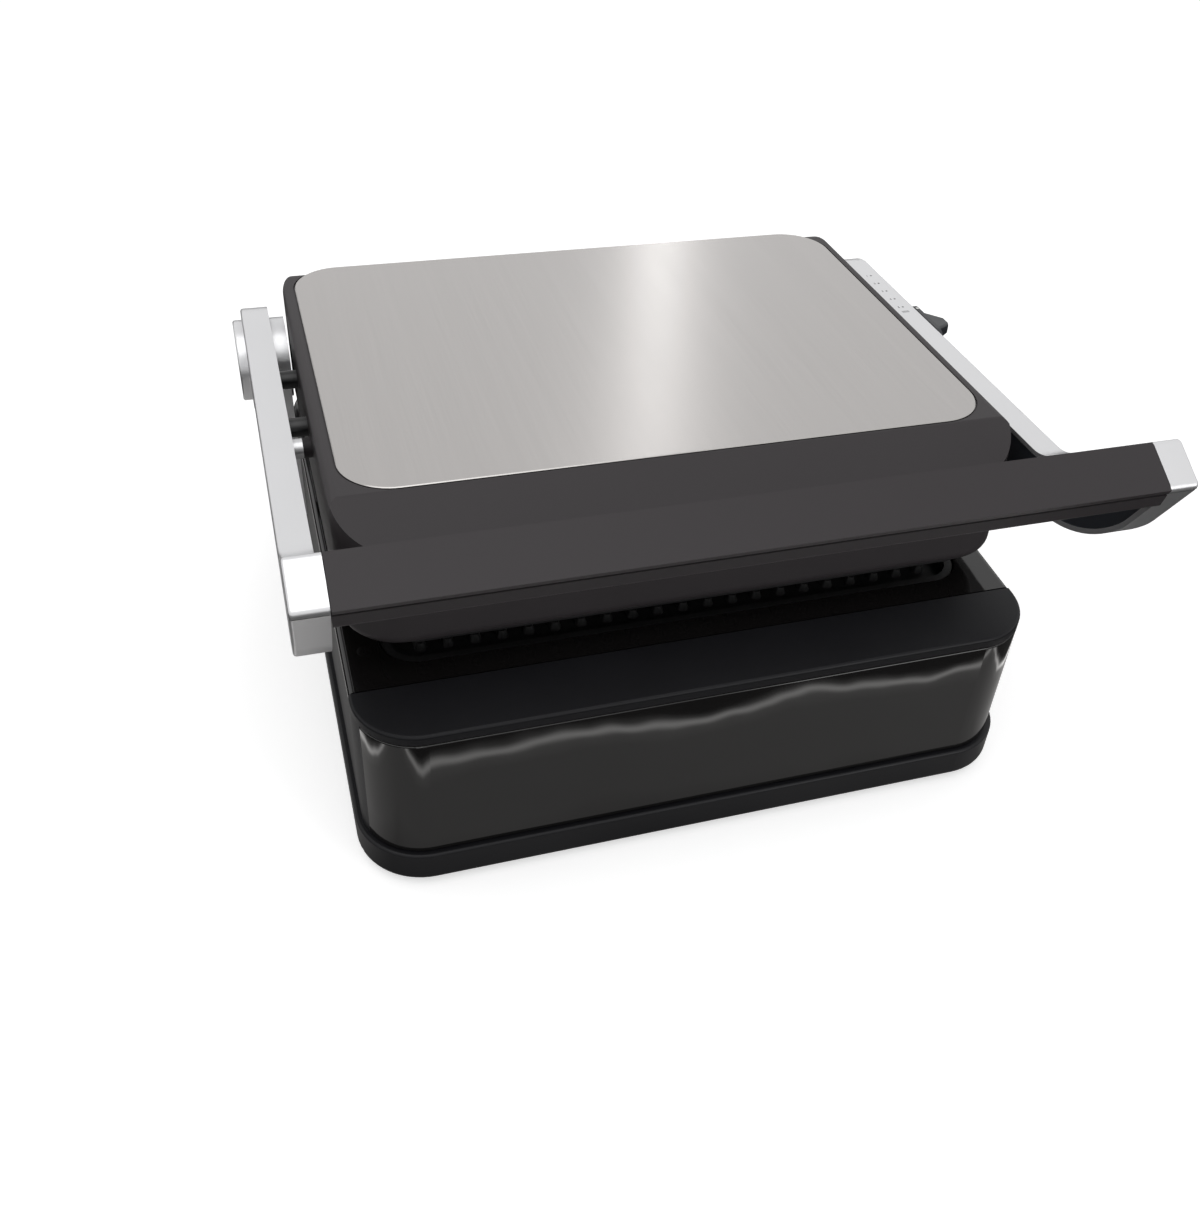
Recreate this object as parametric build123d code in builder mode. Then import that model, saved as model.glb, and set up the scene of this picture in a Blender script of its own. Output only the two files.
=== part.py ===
"""Contact grill: a boxy base, a jointed arm frame with a cross handle, and a lid that floats between the arms.

+X is the viewer's right, +Y the back and +Z up. The origin is on the table, midway across and front to back
of the base. Millimetres.
"""

import os
from math import cos, radians, sin

from build123d import *

os.makedirs("parts", exist_ok=True)

# Driving dimensions of the base
base_width = 334.0
base_depth = 300.0
base_corner = 30.0
foot_height = 4.0
foot_radius = 10.0
foot_inset = 36.0
rim_height = 18.0
rim_overhang = 3.0
base_top = 99.0
deck_thickness = 5.0
wall = 3.0
floor_thickness = 3.0
seam_gap = 0.8
panel_thickness = 2.5
panel_side_length = 18.0
strip_depth = 34.0

# Driving dimensions of the grill plates
plate_side_margin = 19.0
plate_front_margin = 48.0
plate_back_margin = 18.0
plate_width = base_width - 2 * plate_side_margin
plate_depth = base_depth - plate_front_margin - plate_back_margin
plate_front = plate_front_margin - base_depth / 2
plate_corner = 17.0
plate_thickness = 5.0
plate_border = 4.0
plate_clearance = 0.8
plate_seat_width = 2.0
plate_seat_depth = 10.0
rib_height = 4.0
rib_width = 6.0
rib_pitch = 13.0
rib_taper = 18.0
rib_margin = 12.0
rib_side_margin = 15.0
rib_top_z = 97.0
border_rise = 1.0
drain_radius = 6.0

# Driving dimensions of the hinge and the closed attitude
pitch = 3.0
hinge_inset = 22.0
hinge_y = base_depth / 2 - hinge_inset
hinge_z = 129.0
hub_radius = 22.0
hub_cap_thickness = 5.0
hinge_pin_radius = 6.0
running_clearance = 0.05
arm_end_radius = 28.0
bracket_inner_x = base_width / 2 - 1.2
bracket_gap = 0.4
bracket_leg_front = hinge_y - 30.0
bracket_leg_back = hinge_y - 8.0
bracket_foot_z = 40.0

# Driving dimensions of the arms, measured along the arm (s) and across it (t) from the hinge
arm_side_gap = 6.6
arm_inner_x = base_width / 2 + arm_side_gap
arm_width = 14.4
arm_low_t = 2.0
arm_wall = 2.5
handle_overhang = 42.7
arm_reach = base_depth / 2 + hinge_y + handle_overhang
bend_s = arm_reach - 89.1
bend_radius = 25.0
belly_start_s = arm_reach - 86.7
belly_end = (arm_reach - 20.1, 33.3)
belly_blend = 40.0
tip_back = (arm_reach - 19.9, 77.5)
tip_front = (arm_reach, 65.5)
cap_seam_back = (arm_reach - 74.7, 27.0)
cap_seam_round = 12.0
cap_gap = 0.4
tip_round = 3.0
arm_edge_round = 1.5
hub_fillet = 18.0
cover_thickness = 1.5
cover_step = 0.4

# Driving dimensions of the handle, on the same axes
handle_gap = 0.3
handle_low_front = (arm_reach - 4.2, 54.4)
handle_low_back = (arm_reach - 29.7, 59.8)
handle_groove = 1.0
handle_edge = 2.0
handle_seam_front = (arm_reach - 1.5, 63.0)
handle_seam_back = (arm_reach - 24.3, 69.6)
rod_radius = 6.0
rod_at = (arm_reach - 16.2, 64.5)
rod_reach = 6.0
screw_recess = 4.0

# Driving dimensions of the lid
lid_gap = 12.3
lid_height = 66.0
lid_top_z = rib_top_z + lid_gap + lid_height
lid_side_inset = 2.5
lid_half_width = base_width / 2 - lid_side_inset
lid_front_setback = 44.0
lid_back_overhang = 10.0
lid_back_slope = 23.0
lid_front = lid_front_setback - base_depth / 2
lid_back = base_depth / 2 + lid_back_overhang
lid_back_low = lid_back - lid_back_slope
lid_corner = 28.0
lid_split = 40.0
apron_length = 27.0
apron_start = lid_front + apron_length
apron_drop = 15.0
apron_round = 10.0
lid_edge_round = 4.0
skirt_round = 6.0
steel_margin = 6.5
steel_width = 2 * (lid_half_width - steel_margin)
steel_front = apron_start + 1.5
steel_back = lid_back - 5.0
steel_corner = 25.0
steel_thickness = 1.2
steel_proud = 0.4
steel_groove = 0.8
upper_protrusion = 1.0

# Driving dimensions of the lid's hanging pins
pivot_at = (hinge_y - 7.2, 12.3)
pivot_pin_radius = 3.0
pivot_boss_radius = 5.0
boss_split_x = arm_inner_x - 5.0
guide_pin_radius = 4.8
pivot_head_x = lid_half_width - 3.6
pivot_head_thickness = 2.0
boss_end_x = boss_split_x - 0.1
rear_guide_at = (48.0, 11.0)
front_guide_at = (pivot_at[0] - 15.9, 14.9)
tilt_range = 4.0
guide_clearance = 0.3

# Driving dimensions of the height slider
slider_s = 78.0
slider_t = 21.0
slider_travel = 44.0
slider_neck_height = 4.6
slider_neck_length = 10.0
slider_slot_clearance = 0.2
slider_foot_length = 40.0
slider_foot_height = 13.0
slider_foot_thickness = 2.4
slider_reach = 14.0
slider_tip_length = 9.0
slider_stand_off = 0.3

# Driving dimensions of the drip tray
tray_width = 180.0
tray_depth = 96.0
tray_height = 20.0
tray_floor_z = 30.0
tray_wall = 1.6
tray_slot_clearance = 0.6
tray_face_thickness = 3.0
tray_face_margin = 5.0
tray_grip_depth = 10.0

# Driving dimensions of the inner pieces
element_radius = 3.3
element_bend = 18.0
reflector_thickness = 0.8
reflector_depth = 14.0
reflector_inset = 10.0
board_thickness = 1.6
board_hole_inset = 7.0
control_board_side_margin = 62.0
control_board_height = 48.0
control_board_mid_z = 60.0
pad_radius = 7.0
pad_spots = (-70.0, -48.0, 48.0, 70.0)
power_board_width = 50.0
power_board_depth = 90.0
power_board_inset = 47.0
power_board_mid_y = 60.0
board_stand_off = 8.0
screw_radius = 2.0
screw_head_radius = 3.6
screw_head_height = 2.2
screw_length = 20.0
lid_screw_inset = 9.5
lid_screw_x = lid_half_width - lid_screw_inset
lid_screw_front = plate_front + 30.0
lid_screw_back = plate_front + plate_depth - 32.0
gland_radius = 8.0
gland_bore = 3.6
gland_inset = 42.0
gland_at = (gland_inset - base_width / 2, 62.0)

# Worked-out places
base_front = -base_depth / 2
base_back = base_depth / 2
base_half = base_width / 2
rim_bottom = foot_height
rim_top = rim_bottom + rim_height
floor_top = rim_bottom + floor_thickness
deck_bottom = base_top - deck_thickness
strip_back = base_front + strip_depth
panel_end_y = base_front + panel_side_length
panel_bottom = rim_top + seam_gap
panel_top = deck_bottom - seam_gap
arm_outer_x = arm_inner_x + arm_width
slider_tip_x = arm_outer_x + slider_reach
bracket_outer_x = arm_inner_x - bracket_gap
plate_mid_y = plate_front + plate_depth / 2
lower_floor_z = rib_top_z - rib_height
lower_plate_bottom = lower_floor_z - plate_thickness
pitch_sin = sin(radians(pitch))
pitch_cos = cos(radians(pitch))
steel_depth = steel_back - steel_front
steel_mid = (steel_back + steel_front) / 2
lid_wall_top = -steel_thickness - wall
upper_rib_height = -lid_height - upper_protrusion
upper_floor_height = upper_rib_height + rib_height
upper_plate_top = upper_floor_height + plate_thickness
rib_count = int((plate_width - 2 * rib_side_margin) // rib_pitch) + 1
lid_screw_spots = (
    (-lid_screw_x, lid_screw_front),
    (lid_screw_x, lid_screw_front),
    (-lid_screw_x, lid_screw_back),
    (lid_screw_x, lid_screw_back),
)


def arm_plane(x):
    """Side plane of the arms at a given X: local x runs forward along the arm, local y runs up."""
    return Plane(origin=(x, hinge_y, hinge_z), x_dir=(0, -pitch_cos, pitch_sin), z_dir=(-1, 0, 0))


def lid_plane(height):
    """Plane parallel to the lid's top: local x is X, local y runs back, height is above the lid's top."""
    top = Plane(origin=(0, 0, lid_top_z), x_dir=(1, 0, 0), z_dir=(0, pitch_sin, pitch_cos))
    return top.offset(height)


def lid_side_plane(x):
    """Side plane of the lid at a given X: local x runs back along the lid, local y up from its top."""
    return Plane(origin=(x, 0, lid_top_z), x_dir=(0, pitch_cos, -pitch_sin), z_dir=(1, 0, 0))


def base_outline(grow, mode=Mode.ADD):
    """Rounded outline of the base, grown outwards by the given amount, in the current sketch."""
    return RectangleRounded(
        base_width + 2 * grow, base_depth + 2 * grow, base_corner + grow, mode=mode
    )


def plate_outline(grow, mode=Mode.ADD):
    """Rounded outline of a grill plate, grown outwards, in the current sketch."""
    with Locations((0, plate_mid_y)):
        RectangleRounded(
            plate_width + 2 * grow, plate_depth + 2 * grow, plate_corner + grow, mode=mode
        )


def slab(y_low, y_high, mode):
    """Band across the whole base between two Y values, in the current sketch."""
    with Locations((0, (y_low + y_high) / 2)):
        Rectangle(2 * base_width, y_high - y_low, mode=mode)


# Bottom cover with the rim that stands out under the front panel
with BuildPart() as bottom_cover:
    with BuildSketch(Plane.XY.offset(rim_bottom)):
        base_outline(rim_overhang)
    extrude(amount=rim_height)
    fillet(bottom_cover.edges().group_by(Axis.Z)[0], 4.0)
    fillet(bottom_cover.edges().group_by(Axis.Z)[-1], 1.5)
    with BuildSketch(Plane.XY.offset(floor_top)):
        base_outline(-wall)
    extrude(amount=rim_height, mode=Mode.SUBTRACT)
    with BuildSketch(Plane.XY.offset(rim_bottom)):
        with GridLocations(16.0, 90.0, 9, 2):
            SlotOverall(36.0, 4.0, rotation=90)
    extrude(amount=floor_thickness, mode=Mode.SUBTRACT)

# Four rubber feet
foot_span_x = base_width - 2 * foot_inset
foot_span_y = base_depth - 2 * foot_inset
with BuildPart() as rubber_feet:
    with BuildSketch(Plane.XY):
        with GridLocations(foot_span_x, foot_span_y, 2, 2):
            Circle(foot_radius)
    extrude(amount=foot_height)
    chamfer(rubber_feet.edges().group_by(Axis.Z)[0], 0.8)

# Base housing: side and back walls, stepped back at the front to seat the panel
with BuildPart() as base_housing:
    with BuildSketch(Plane.XY.offset(rim_top)):
        base_outline(0)
        base_outline(-2 * wall, mode=Mode.SUBTRACT)
    extrude(amount=deck_bottom - rim_top)
    with BuildSketch(Plane.XY.offset(rim_top)):
        base_outline(1)
        base_outline(-panel_thickness - 0.2, mode=Mode.SUBTRACT)
        slab(panel_end_y, base_back + base_width, Mode.SUBTRACT)
    extrude(amount=deck_bottom - rim_top, mode=Mode.SUBTRACT)
    with BuildSketch(Plane.XZ.offset(-base_back)):
        with Locations((0, tray_floor_z + tray_height / 2)):
            Rectangle(tray_width + 2 * tray_slot_clearance, tray_height + 2 * tray_slot_clearance)
        with Locations(gland_at):
            Circle(gland_radius)
    extrude(amount=3 * wall, mode=Mode.SUBTRACT)

# Gloss front panel that wraps both front corners
with BuildPart() as front_panel:
    with BuildSketch(Plane.XY.offset(panel_bottom)):
        base_outline(0)
        base_outline(-panel_thickness, mode=Mode.SUBTRACT)
        slab(panel_end_y, base_back + base_width, Mode.SUBTRACT)
    extrude(amount=panel_top - panel_bottom)
    fillet(front_panel.edges().group_by(Axis.Z)[-1].sort_by(Axis.Y)[0], 0.8)

# Matte strip on top in front of the grill plate
with BuildPart() as front_strip:
    with BuildSketch(Plane.XY.offset(deck_bottom)):
        base_outline(0)
        slab(strip_back - seam_gap / 2, base_back + base_width, Mode.SUBTRACT)
    extrude(amount=deck_thickness)
    front_edges = front_strip.edges().group_by(Axis.Z)[-1].filter_by_position(
        Axis.Y, base_front - 1, strip_back - seam_gap
    )
    fillet(front_edges, 1.5)

# Gloss top frame round the lower grill plate
with BuildPart() as top_frame:
    with BuildSketch(Plane.XY.offset(deck_bottom)):
        base_outline(0)
        slab(base_front - base_width, strip_back + seam_gap / 2, Mode.SUBTRACT)
        plate_outline(plate_clearance, mode=Mode.SUBTRACT)
    extrude(amount=deck_thickness)
    back_edges = top_frame.edges().group_by(Axis.Z)[-1].sort_by(Axis.Y)[-1]
    fillet(back_edges, 3.0)
    with BuildSketch(Plane.XY.offset(deck_bottom)):
        plate_outline(plate_clearance + plate_seat_width)
        plate_outline(plate_clearance, mode=Mode.SUBTRACT)
    extrude(amount=-plate_seat_depth)


def add_ribs(start_plane, direction):
    """Row of tapered ribs with round ends, standing on a plane of the current part."""
    with BuildSketch(start_plane) as rib_rows:
        with Locations((0, plate_mid_y)):
            with GridLocations(rib_pitch, 1, rib_count, 1):
                SlotOverall(plate_depth - 2 * rib_margin, rib_width, rotation=90)
    extrude(rib_rows.sketch, amount=direction * rib_height, taper=rib_taper)


# Lower grill plate: ribbed casting with a raised border and a drain at the back
with BuildPart() as lower_grill_plate:
    with BuildSketch(Plane.XY.offset(lower_plate_bottom)):
        plate_outline(0)
    extrude(amount=plate_thickness)
    with BuildSketch(Plane.XY.offset(lower_floor_z)):
        plate_outline(0)
        plate_outline(-plate_border, mode=Mode.SUBTRACT)
    extrude(amount=rib_height + border_rise)
    add_ribs(Plane.XY.offset(lower_floor_z), 1)
    with BuildSketch(Plane.XY.offset(lower_floor_z)):
        with Locations((0, plate_front + plate_depth - rib_margin + 1.0)):
            Circle(drain_radius)
    extrude(amount=-plate_thickness, mode=Mode.SUBTRACT)

# Lower heating element: one tube bent into an M under the plate
element_z = lower_plate_bottom - element_radius
element_half_x = plate_width / 2 - 30.0
element_inner_x = 45.0
element_front_y = plate_front + 28.0
element_back_y = plate_front + plate_depth - 26.0


def element_path(plane):
    """Centre line of a heating tube, bent into an M, in the current line context."""
    return FilletPolyline(
        plane.from_local_coords((-element_half_x, element_back_y, 0)),
        plane.from_local_coords((-element_half_x, element_front_y, 0)),
        plane.from_local_coords((-element_inner_x, element_front_y, 0)),
        plane.from_local_coords((-element_inner_x, element_back_y - 30.0, 0)),
        plane.from_local_coords((element_inner_x, element_back_y - 30.0, 0)),
        plane.from_local_coords((element_inner_x, element_front_y, 0)),
        plane.from_local_coords((element_half_x, element_front_y, 0)),
        plane.from_local_coords((element_half_x, element_back_y, 0)),
        radius=element_bend,
    )


with BuildPart() as lower_element:
    lower_element_plane = Plane.XY.offset(element_z)
    with BuildLine() as lower_element_line:
        element_path(lower_element_plane)
    start = lower_element_line.line @ 0
    with BuildSketch(Plane(origin=start, z_dir=lower_element_line.line % 0)):
        Circle(element_radius)
    sweep(path=lower_element_line.line)

# Lower heat reflector: a shallow sheet pan under the element
lower_reflector_top = lower_plate_bottom
with BuildPart() as lower_reflector:
    with BuildSketch(Plane.XY.offset(lower_reflector_top - reflector_depth)):
        plate_outline(-reflector_inset)
    extrude(amount=reflector_depth)
    with BuildSketch(Plane.XY.offset(lower_reflector_top - reflector_depth + reflector_thickness)):
        plate_outline(-reflector_inset - reflector_thickness)
    extrude(amount=reflector_depth, mode=Mode.SUBTRACT)
    with BuildSketch(Plane.XY.offset(lower_reflector_top - reflector_depth)):
        with Locations((0, plate_front + plate_depth - rib_margin + 1.0)):
            Circle(drain_radius + 2.0)
    extrude(amount=reflector_depth, mode=Mode.SUBTRACT)

# Drain chute from the plate down to the tray
drain_y = plate_front + plate_depth - rib_margin + 1.0
chute_top = lower_plate_bottom
chute_bottom = tray_floor_z + tray_height + 4.0
with BuildPart() as drain_chute:
    with BuildSketch(Plane.XY.offset(chute_bottom)):
        with Locations((0, drain_y)):
            Circle(drain_radius + 1.2)
            Circle(drain_radius, mode=Mode.SUBTRACT)
    extrude(amount=chute_top - chute_bottom)

# Drip tray that slides out at the back
tray_back_y = base_back + tray_face_thickness
with BuildPart() as drip_tray:
    with BuildSketch(Plane.XY.offset(tray_floor_z)):
        with Locations((0, base_back - tray_depth / 2)):
            Rectangle(tray_width, tray_depth)
    extrude(amount=tray_height)
    with BuildSketch(Plane.XY.offset(tray_floor_z + tray_wall)):
        with Locations((0, base_back - tray_depth / 2 - tray_wall)):
            Rectangle(tray_width - 2 * tray_wall, tray_depth - 4 * tray_wall)
    extrude(amount=tray_height, mode=Mode.SUBTRACT)
    with BuildSketch(Plane.XZ.offset(-base_back - seam_gap / 2)):
        with Locations((0, tray_floor_z + tray_height / 2)):
            RectangleRounded(tray_width + 2 * tray_face_margin, tray_height + 2 * tray_face_margin, 4.0)
    extrude(amount=-tray_face_thickness)
    with BuildSketch(Plane.XZ.offset(-base_back)):
        with Locations((0, tray_floor_z + tray_height / 2)):
            Rectangle(tray_width, tray_height)
    extrude(amount=-seam_gap / 2)
    with BuildSketch(Plane.XZ.offset(-tray_back_y - seam_gap / 2)):
        with Locations((0, tray_floor_z + 2.0)):
            SlotOverall(70.0, tray_grip_depth)
    extrude(amount=1.6, mode=Mode.SUBTRACT)

# Tray runners on the cover's floor
with BuildPart() as tray_runners:
    with BuildSketch(Plane.XY.offset(floor_top)):
        with Locations((0, base_back - 2 * wall - tray_depth / 2 - 1.0)):
            with GridLocations(tray_width - 30.0, 1, 2, 1):
                Rectangle(10.0, tray_depth - 10.0)
    extrude(amount=tray_floor_z - floor_top - seam_gap / 4)

# Control board behind the gloss panel, with its display and touch pads
board_y = base_front + panel_thickness + 2 * wall + 4.0
control_board_width = base_width - 2 * control_board_side_margin
control_hole_x = control_board_width - 2 * board_hole_inset
control_hole_z = control_board_height - 2 * board_hole_inset
with BuildPart() as control_board:
    with BuildSketch(Plane.XZ.offset(-board_y)):
        with Locations((0, control_board_mid_z)):
            Rectangle(control_board_width, control_board_height)
            with GridLocations(control_hole_x, control_hole_z, 2, 2):
                Circle(screw_radius, mode=Mode.SUBTRACT)
    extrude(amount=-board_thickness)
    with BuildSketch(Plane.XZ.offset(-board_y)):
        with Locations((0, control_board_mid_z)):
            Rectangle(60.0, 26.0)
        for pad_x in pad_spots:
            with Locations((pad_x, control_board_mid_z)):
                Circle(pad_radius)
    extrude(amount=3.0)

# Power board with relay and fuse beside the cord inlet
power_board_x = power_board_inset - base_half
power_foot_x = power_board_width - 12.0
power_foot_y = power_board_depth - 12.0
with BuildPart() as power_board:
    with BuildSketch(Plane.XY.offset(floor_top + board_stand_off)):
        with Locations((power_board_x, power_board_mid_y)):
            Rectangle(power_board_width, power_board_depth)
    extrude(amount=board_thickness)
    with BuildSketch(Plane.XY.offset(floor_top + board_stand_off + board_thickness)):
        with Locations((power_board_x, power_board_mid_y - 20.0)):
            with GridLocations(16.0, 1, 2, 1):
                Rectangle(12.0, 18.0)
        with Locations((power_board_x, power_board_mid_y + 15.0)):
            Rectangle(30.0, 16.0)
    extrude(amount=12.0)
    with BuildSketch(Plane.XY.offset(floor_top)):
        with Locations((power_board_x, power_board_mid_y)):
            with GridLocations(power_foot_x, power_foot_y, 2, 2):
                Circle(3.0)
    extrude(amount=board_stand_off)

# Cord inlet: a flanged bush in the back wall
with BuildPart() as cord_gland:
    with BuildSketch(Plane.XZ.offset(-base_back + 2 * wall + 2.0)):
        with Locations(gland_at):
            Circle(gland_radius)
    extrude(amount=-2 * wall - 2.0)
    with BuildSketch(Plane.XZ.offset(-base_back)):
        with Locations(gland_at):
            Circle(gland_radius + 2.5)
    extrude(amount=-4.0, taper=12)
    with BuildSketch(Plane.XZ.offset(-base_back + 2 * wall + 3.0)):
        with Locations(gland_at):
            Circle(gland_bore)
    extrude(amount=-6 * wall, mode=Mode.SUBTRACT)

# Spring-loaded temperature sensor under the lower plate
sensor_base = lower_reflector_top - reflector_depth + reflector_thickness
with BuildPart() as lower_sensor:
    with BuildSketch(Plane.XY.offset(sensor_base)):
        with Locations((0, plate_front + 60.0)):
            Circle(6.0)
    extrude(amount=lower_plate_bottom - sensor_base - 3.0)
    with BuildSketch(Plane.XY.offset(sensor_base)):
        with Locations((0, plate_front + 60.0)):
            Circle(4.0)
    extrude(amount=lower_plate_bottom - sensor_base)

# Screws that hold the bottom cover to its corner posts
post_radius = 4.5
post_x = base_half - 2 * wall - post_radius - 1.0
post_y = base_back - base_corner - 11.0
with BuildPart() as corner_posts:
    with BuildSketch(Plane.XY.offset(floor_top)):
        with GridLocations(2 * post_x, 2 * post_y, 2, 2):
            Circle(post_radius)
            Circle(screw_radius, mode=Mode.SUBTRACT)
    extrude(amount=deck_bottom - floor_top)


def arm_outline(inset):
    """Side outline of an arm: round hinge end, straight beam, and a belly that rises to the handle."""
    with BuildSketch() as outline:
        with BuildLine() as rim:
            Line((0, arm_low_t), (belly_start_s, arm_low_t))
            TangentArc((belly_start_s, arm_low_t), belly_end, tangent=(1, 0))
            Polyline(belly_end, tip_front, tip_back, (bend_s, arm_end_radius), (0, arm_end_radius))
            Line((0, arm_end_radius), (0, arm_low_t))
        make_face()
        belly_corner = outline.vertices().sort_by_distance(belly_end)[0]
        fillet(belly_corner, belly_blend)
        bend_corner = outline.vertices().sort_by_distance((bend_s, arm_end_radius))[0]
        fillet(bend_corner, bend_radius)
        front_corner = outline.vertices().sort_by_distance(tip_front)[0]
        fillet(front_corner, tip_round)
        back_corner = outline.vertices().sort_by_distance(tip_back)[0]
        fillet(back_corner, tip_round)
        Circle(arm_end_radius)
        hub_corner = outline.vertices().sort_by_distance((arm_end_radius, arm_low_t))[0]
        fillet(hub_corner, hub_fillet)
        if inset > 0:
            offset(amount=-inset, mode=Mode.REPLACE)
    return outline.sketch


def cap_band(drop):
    """Side view of everything above the seam between arm and end cap, lowered by the given amount."""
    with BuildSketch() as band:
        with BuildLine():
            Polyline(
                (cap_seam_back[0] - drop, cap_seam_back[1] - drop),
                (tip_front[0] + 4.0, tip_front[1] + 0.6 - drop),
                (tip_front[0] + 4.0, tip_back[1] + 20.0),
                (cap_seam_back[0] - 14.0 - drop, tip_back[1] + 20.0),
                close=True,
            )
        make_face()
        seam_corner = band.vertices().sort_by_distance((cap_seam_back[0] - drop, cap_seam_back[1] - drop))[0]
        fillet(seam_corner, cap_seam_round)
    return band.sketch


def arm_shell(with_slot):
    """Right arm: an open shell with bosses for its pins, less the tip that the end cap covers."""
    with BuildPart() as shell:
        with BuildSketch(arm_plane(arm_outer_x)):
            add(arm_outline(0))
        extrude(amount=arm_width)
        fillet(shell.faces().sort_by(Axis.X)[-1].edges(), arm_edge_round)
        with BuildSketch(arm_plane(arm_outer_x - arm_wall)):
            add(arm_outline(arm_wall))
        extrude(amount=arm_width, mode=Mode.SUBTRACT)
        with BuildSketch(arm_plane(arm_outer_x - arm_wall)):
            Circle(hinge_pin_radius + 4.0)
        extrude(amount=arm_outer_x - arm_wall - cover_outer_x)
        with BuildSketch(arm_plane(arm_outer_x - arm_wall)):
            with Locations(pivot_at):
                Circle(pivot_boss_radius)
        extrude(amount=arm_outer_x - arm_wall - boss_split_x)
        with BuildSketch(arm_plane(arm_outer_x + 1)):
            Circle(hinge_pin_radius + running_clearance)
        extrude(amount=arm_width + 2, mode=Mode.SUBTRACT)
        with BuildSketch(arm_plane(arm_outer_x - arm_wall)):
            with Locations(pivot_at):
                Circle(pivot_pin_radius)
        extrude(amount=arm_width + 10, mode=Mode.SUBTRACT)
        with BuildSketch(arm_plane(arm_outer_x + 1)):
            add(cap_band(cap_gap))
        extrude(amount=arm_width + 2, mode=Mode.SUBTRACT)
        if with_slot:
            with BuildSketch(arm_plane(arm_outer_x + 1)):
                with Locations((slider_s - slider_travel / 2, slider_t)):
                    RectangleRounded(
                        slider_travel + slider_neck_length + 2 * slider_slot_clearance,
                        slider_neck_height + 2 * slider_slot_clearance,
                        1.0,
                    )
            extrude(amount=arm_wall + 2, mode=Mode.SUBTRACT)
    return shell.part


# Silver arms with hinge and pivot bosses; the right one has the height slider's slot
cover_outer_x = arm_inner_x + cover_step + cover_thickness
with BuildPart() as right_arm:
    add(arm_shell(True))
with BuildPart() as left_arm:
    add(mirror(arm_shell(False), about=Plane.YZ))

# Dark covers that close the inner side of each arm, slotted for the lid's guide pins
guide_swing = (pivot_at[0] - rear_guide_at[0]) * sin(radians(tilt_range))
guide_slot = 2 * (guide_pin_radius + guide_clearance)


def arm_cover():
    """Right arm's inner cover, lying just inside the shell's rim."""
    with BuildPart() as cover:
        with BuildSketch(arm_plane(cover_outer_x)):
            add(arm_outline(arm_wall))
            add(cap_band(cap_gap), mode=Mode.SUBTRACT)
            Circle(hinge_pin_radius + 1.0, mode=Mode.SUBTRACT)
            with Locations(pivot_at):
                Circle(pivot_boss_radius, mode=Mode.SUBTRACT)
            with Locations(front_guide_at):
                Circle(guide_pin_radius + 1.6, mode=Mode.SUBTRACT)
            with Locations((rear_guide_at[0], rear_guide_at[1] + guide_swing / 2)):
                SlotCenterToCenter(guide_swing, guide_slot, rotation=90, mode=Mode.SUBTRACT)
        extrude(amount=cover_thickness)
    return cover.part


with BuildPart() as right_arm_cover:
    add(arm_cover())
with BuildPart() as left_arm_cover:
    add(mirror(arm_cover(), about=Plane.YZ))

# Silver end caps over the arms' raised tips
screw_seat_x = arm_outer_x - screw_recess


def end_cap():
    """Right end cap: the tip above the seam, with a socket for the handle's rod and a deep screw hole."""
    with BuildPart() as cap:
        with BuildSketch(arm_plane(arm_outer_x)):
            add(arm_outline(0))
        extrude(amount=arm_width)
        fillet(cap.faces().sort_by(Axis.X)[-1].edges(), arm_edge_round)
        with BuildSketch(arm_plane(arm_outer_x + 1)):
            add(cap_band(0))
        extrude(amount=arm_width + 2, mode=Mode.INTERSECT)
        with BuildSketch(arm_plane(arm_inner_x + rod_reach)):
            with Locations(rod_at):
                Circle(rod_radius)
        extrude(amount=rod_reach + 1, mode=Mode.SUBTRACT)
        with BuildSketch(arm_plane(arm_outer_x + 1)):
            with Locations(rod_at):
                Circle(screw_head_radius + 0.4)
        extrude(amount=screw_recess + 1, mode=Mode.SUBTRACT)
        with BuildSketch(arm_plane(arm_outer_x)):
            with Locations(rod_at):
                Circle(screw_radius)
        extrude(amount=arm_width, mode=Mode.SUBTRACT)
    return cap.part


with BuildPart() as right_end_cap:
    add(end_cap())
with BuildPart() as left_end_cap:
    add(mirror(end_cap(), about=Plane.YZ))

# Handle: an upper and a lower cover round a steel rod
handle_half = arm_inner_x - handle_gap
with BuildPart() as handle_upper_cover:
    with BuildSketch(arm_plane(handle_half)):
        with BuildLine():
            Polyline(tip_back, tip_front, handle_seam_front, handle_seam_back, close=True)
        make_face()
        with Locations(rod_at):
            Circle(rod_radius, mode=Mode.SUBTRACT)
    extrude(amount=2 * handle_half)
with BuildPart() as handle_lower_cover:
    with BuildSketch(arm_plane(handle_half)) as lower_section:
        with BuildLine():
            Polyline(
                (handle_seam_front[0] - 0.3, handle_seam_front[1] - handle_groove),
                handle_low_front,
                handle_low_back,
                (handle_seam_back[0] - 0.5, handle_seam_back[1] - handle_groove),
                close=True,
            )
        make_face()
        fillet(lower_section.vertices().sort_by_distance(handle_low_front)[0], handle_edge)
        fillet(lower_section.vertices().sort_by_distance(handle_low_back)[0], handle_edge)
        with Locations(rod_at):
            Circle(rod_radius, mode=Mode.SUBTRACT)
    extrude(amount=2 * handle_half)
rod_end_x = arm_inner_x + rod_reach
screw_tip_x = rod_end_x - 12.0
with BuildPart() as handle_rod:
    with BuildSketch(arm_plane(rod_end_x)):
        with Locations(rod_at):
            Circle(rod_radius)
    extrude(amount=2 * rod_end_x)
    with BuildSketch(arm_plane(rod_end_x)):
        with Locations(rod_at):
            Circle(screw_radius)
    extrude(amount=rod_end_x - screw_tip_x, mode=Mode.SUBTRACT)
    with BuildSketch(arm_plane(-screw_tip_x)):
        with Locations(rod_at):
            Circle(screw_radius)
    extrude(amount=rod_end_x - screw_tip_x, mode=Mode.SUBTRACT)
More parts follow.
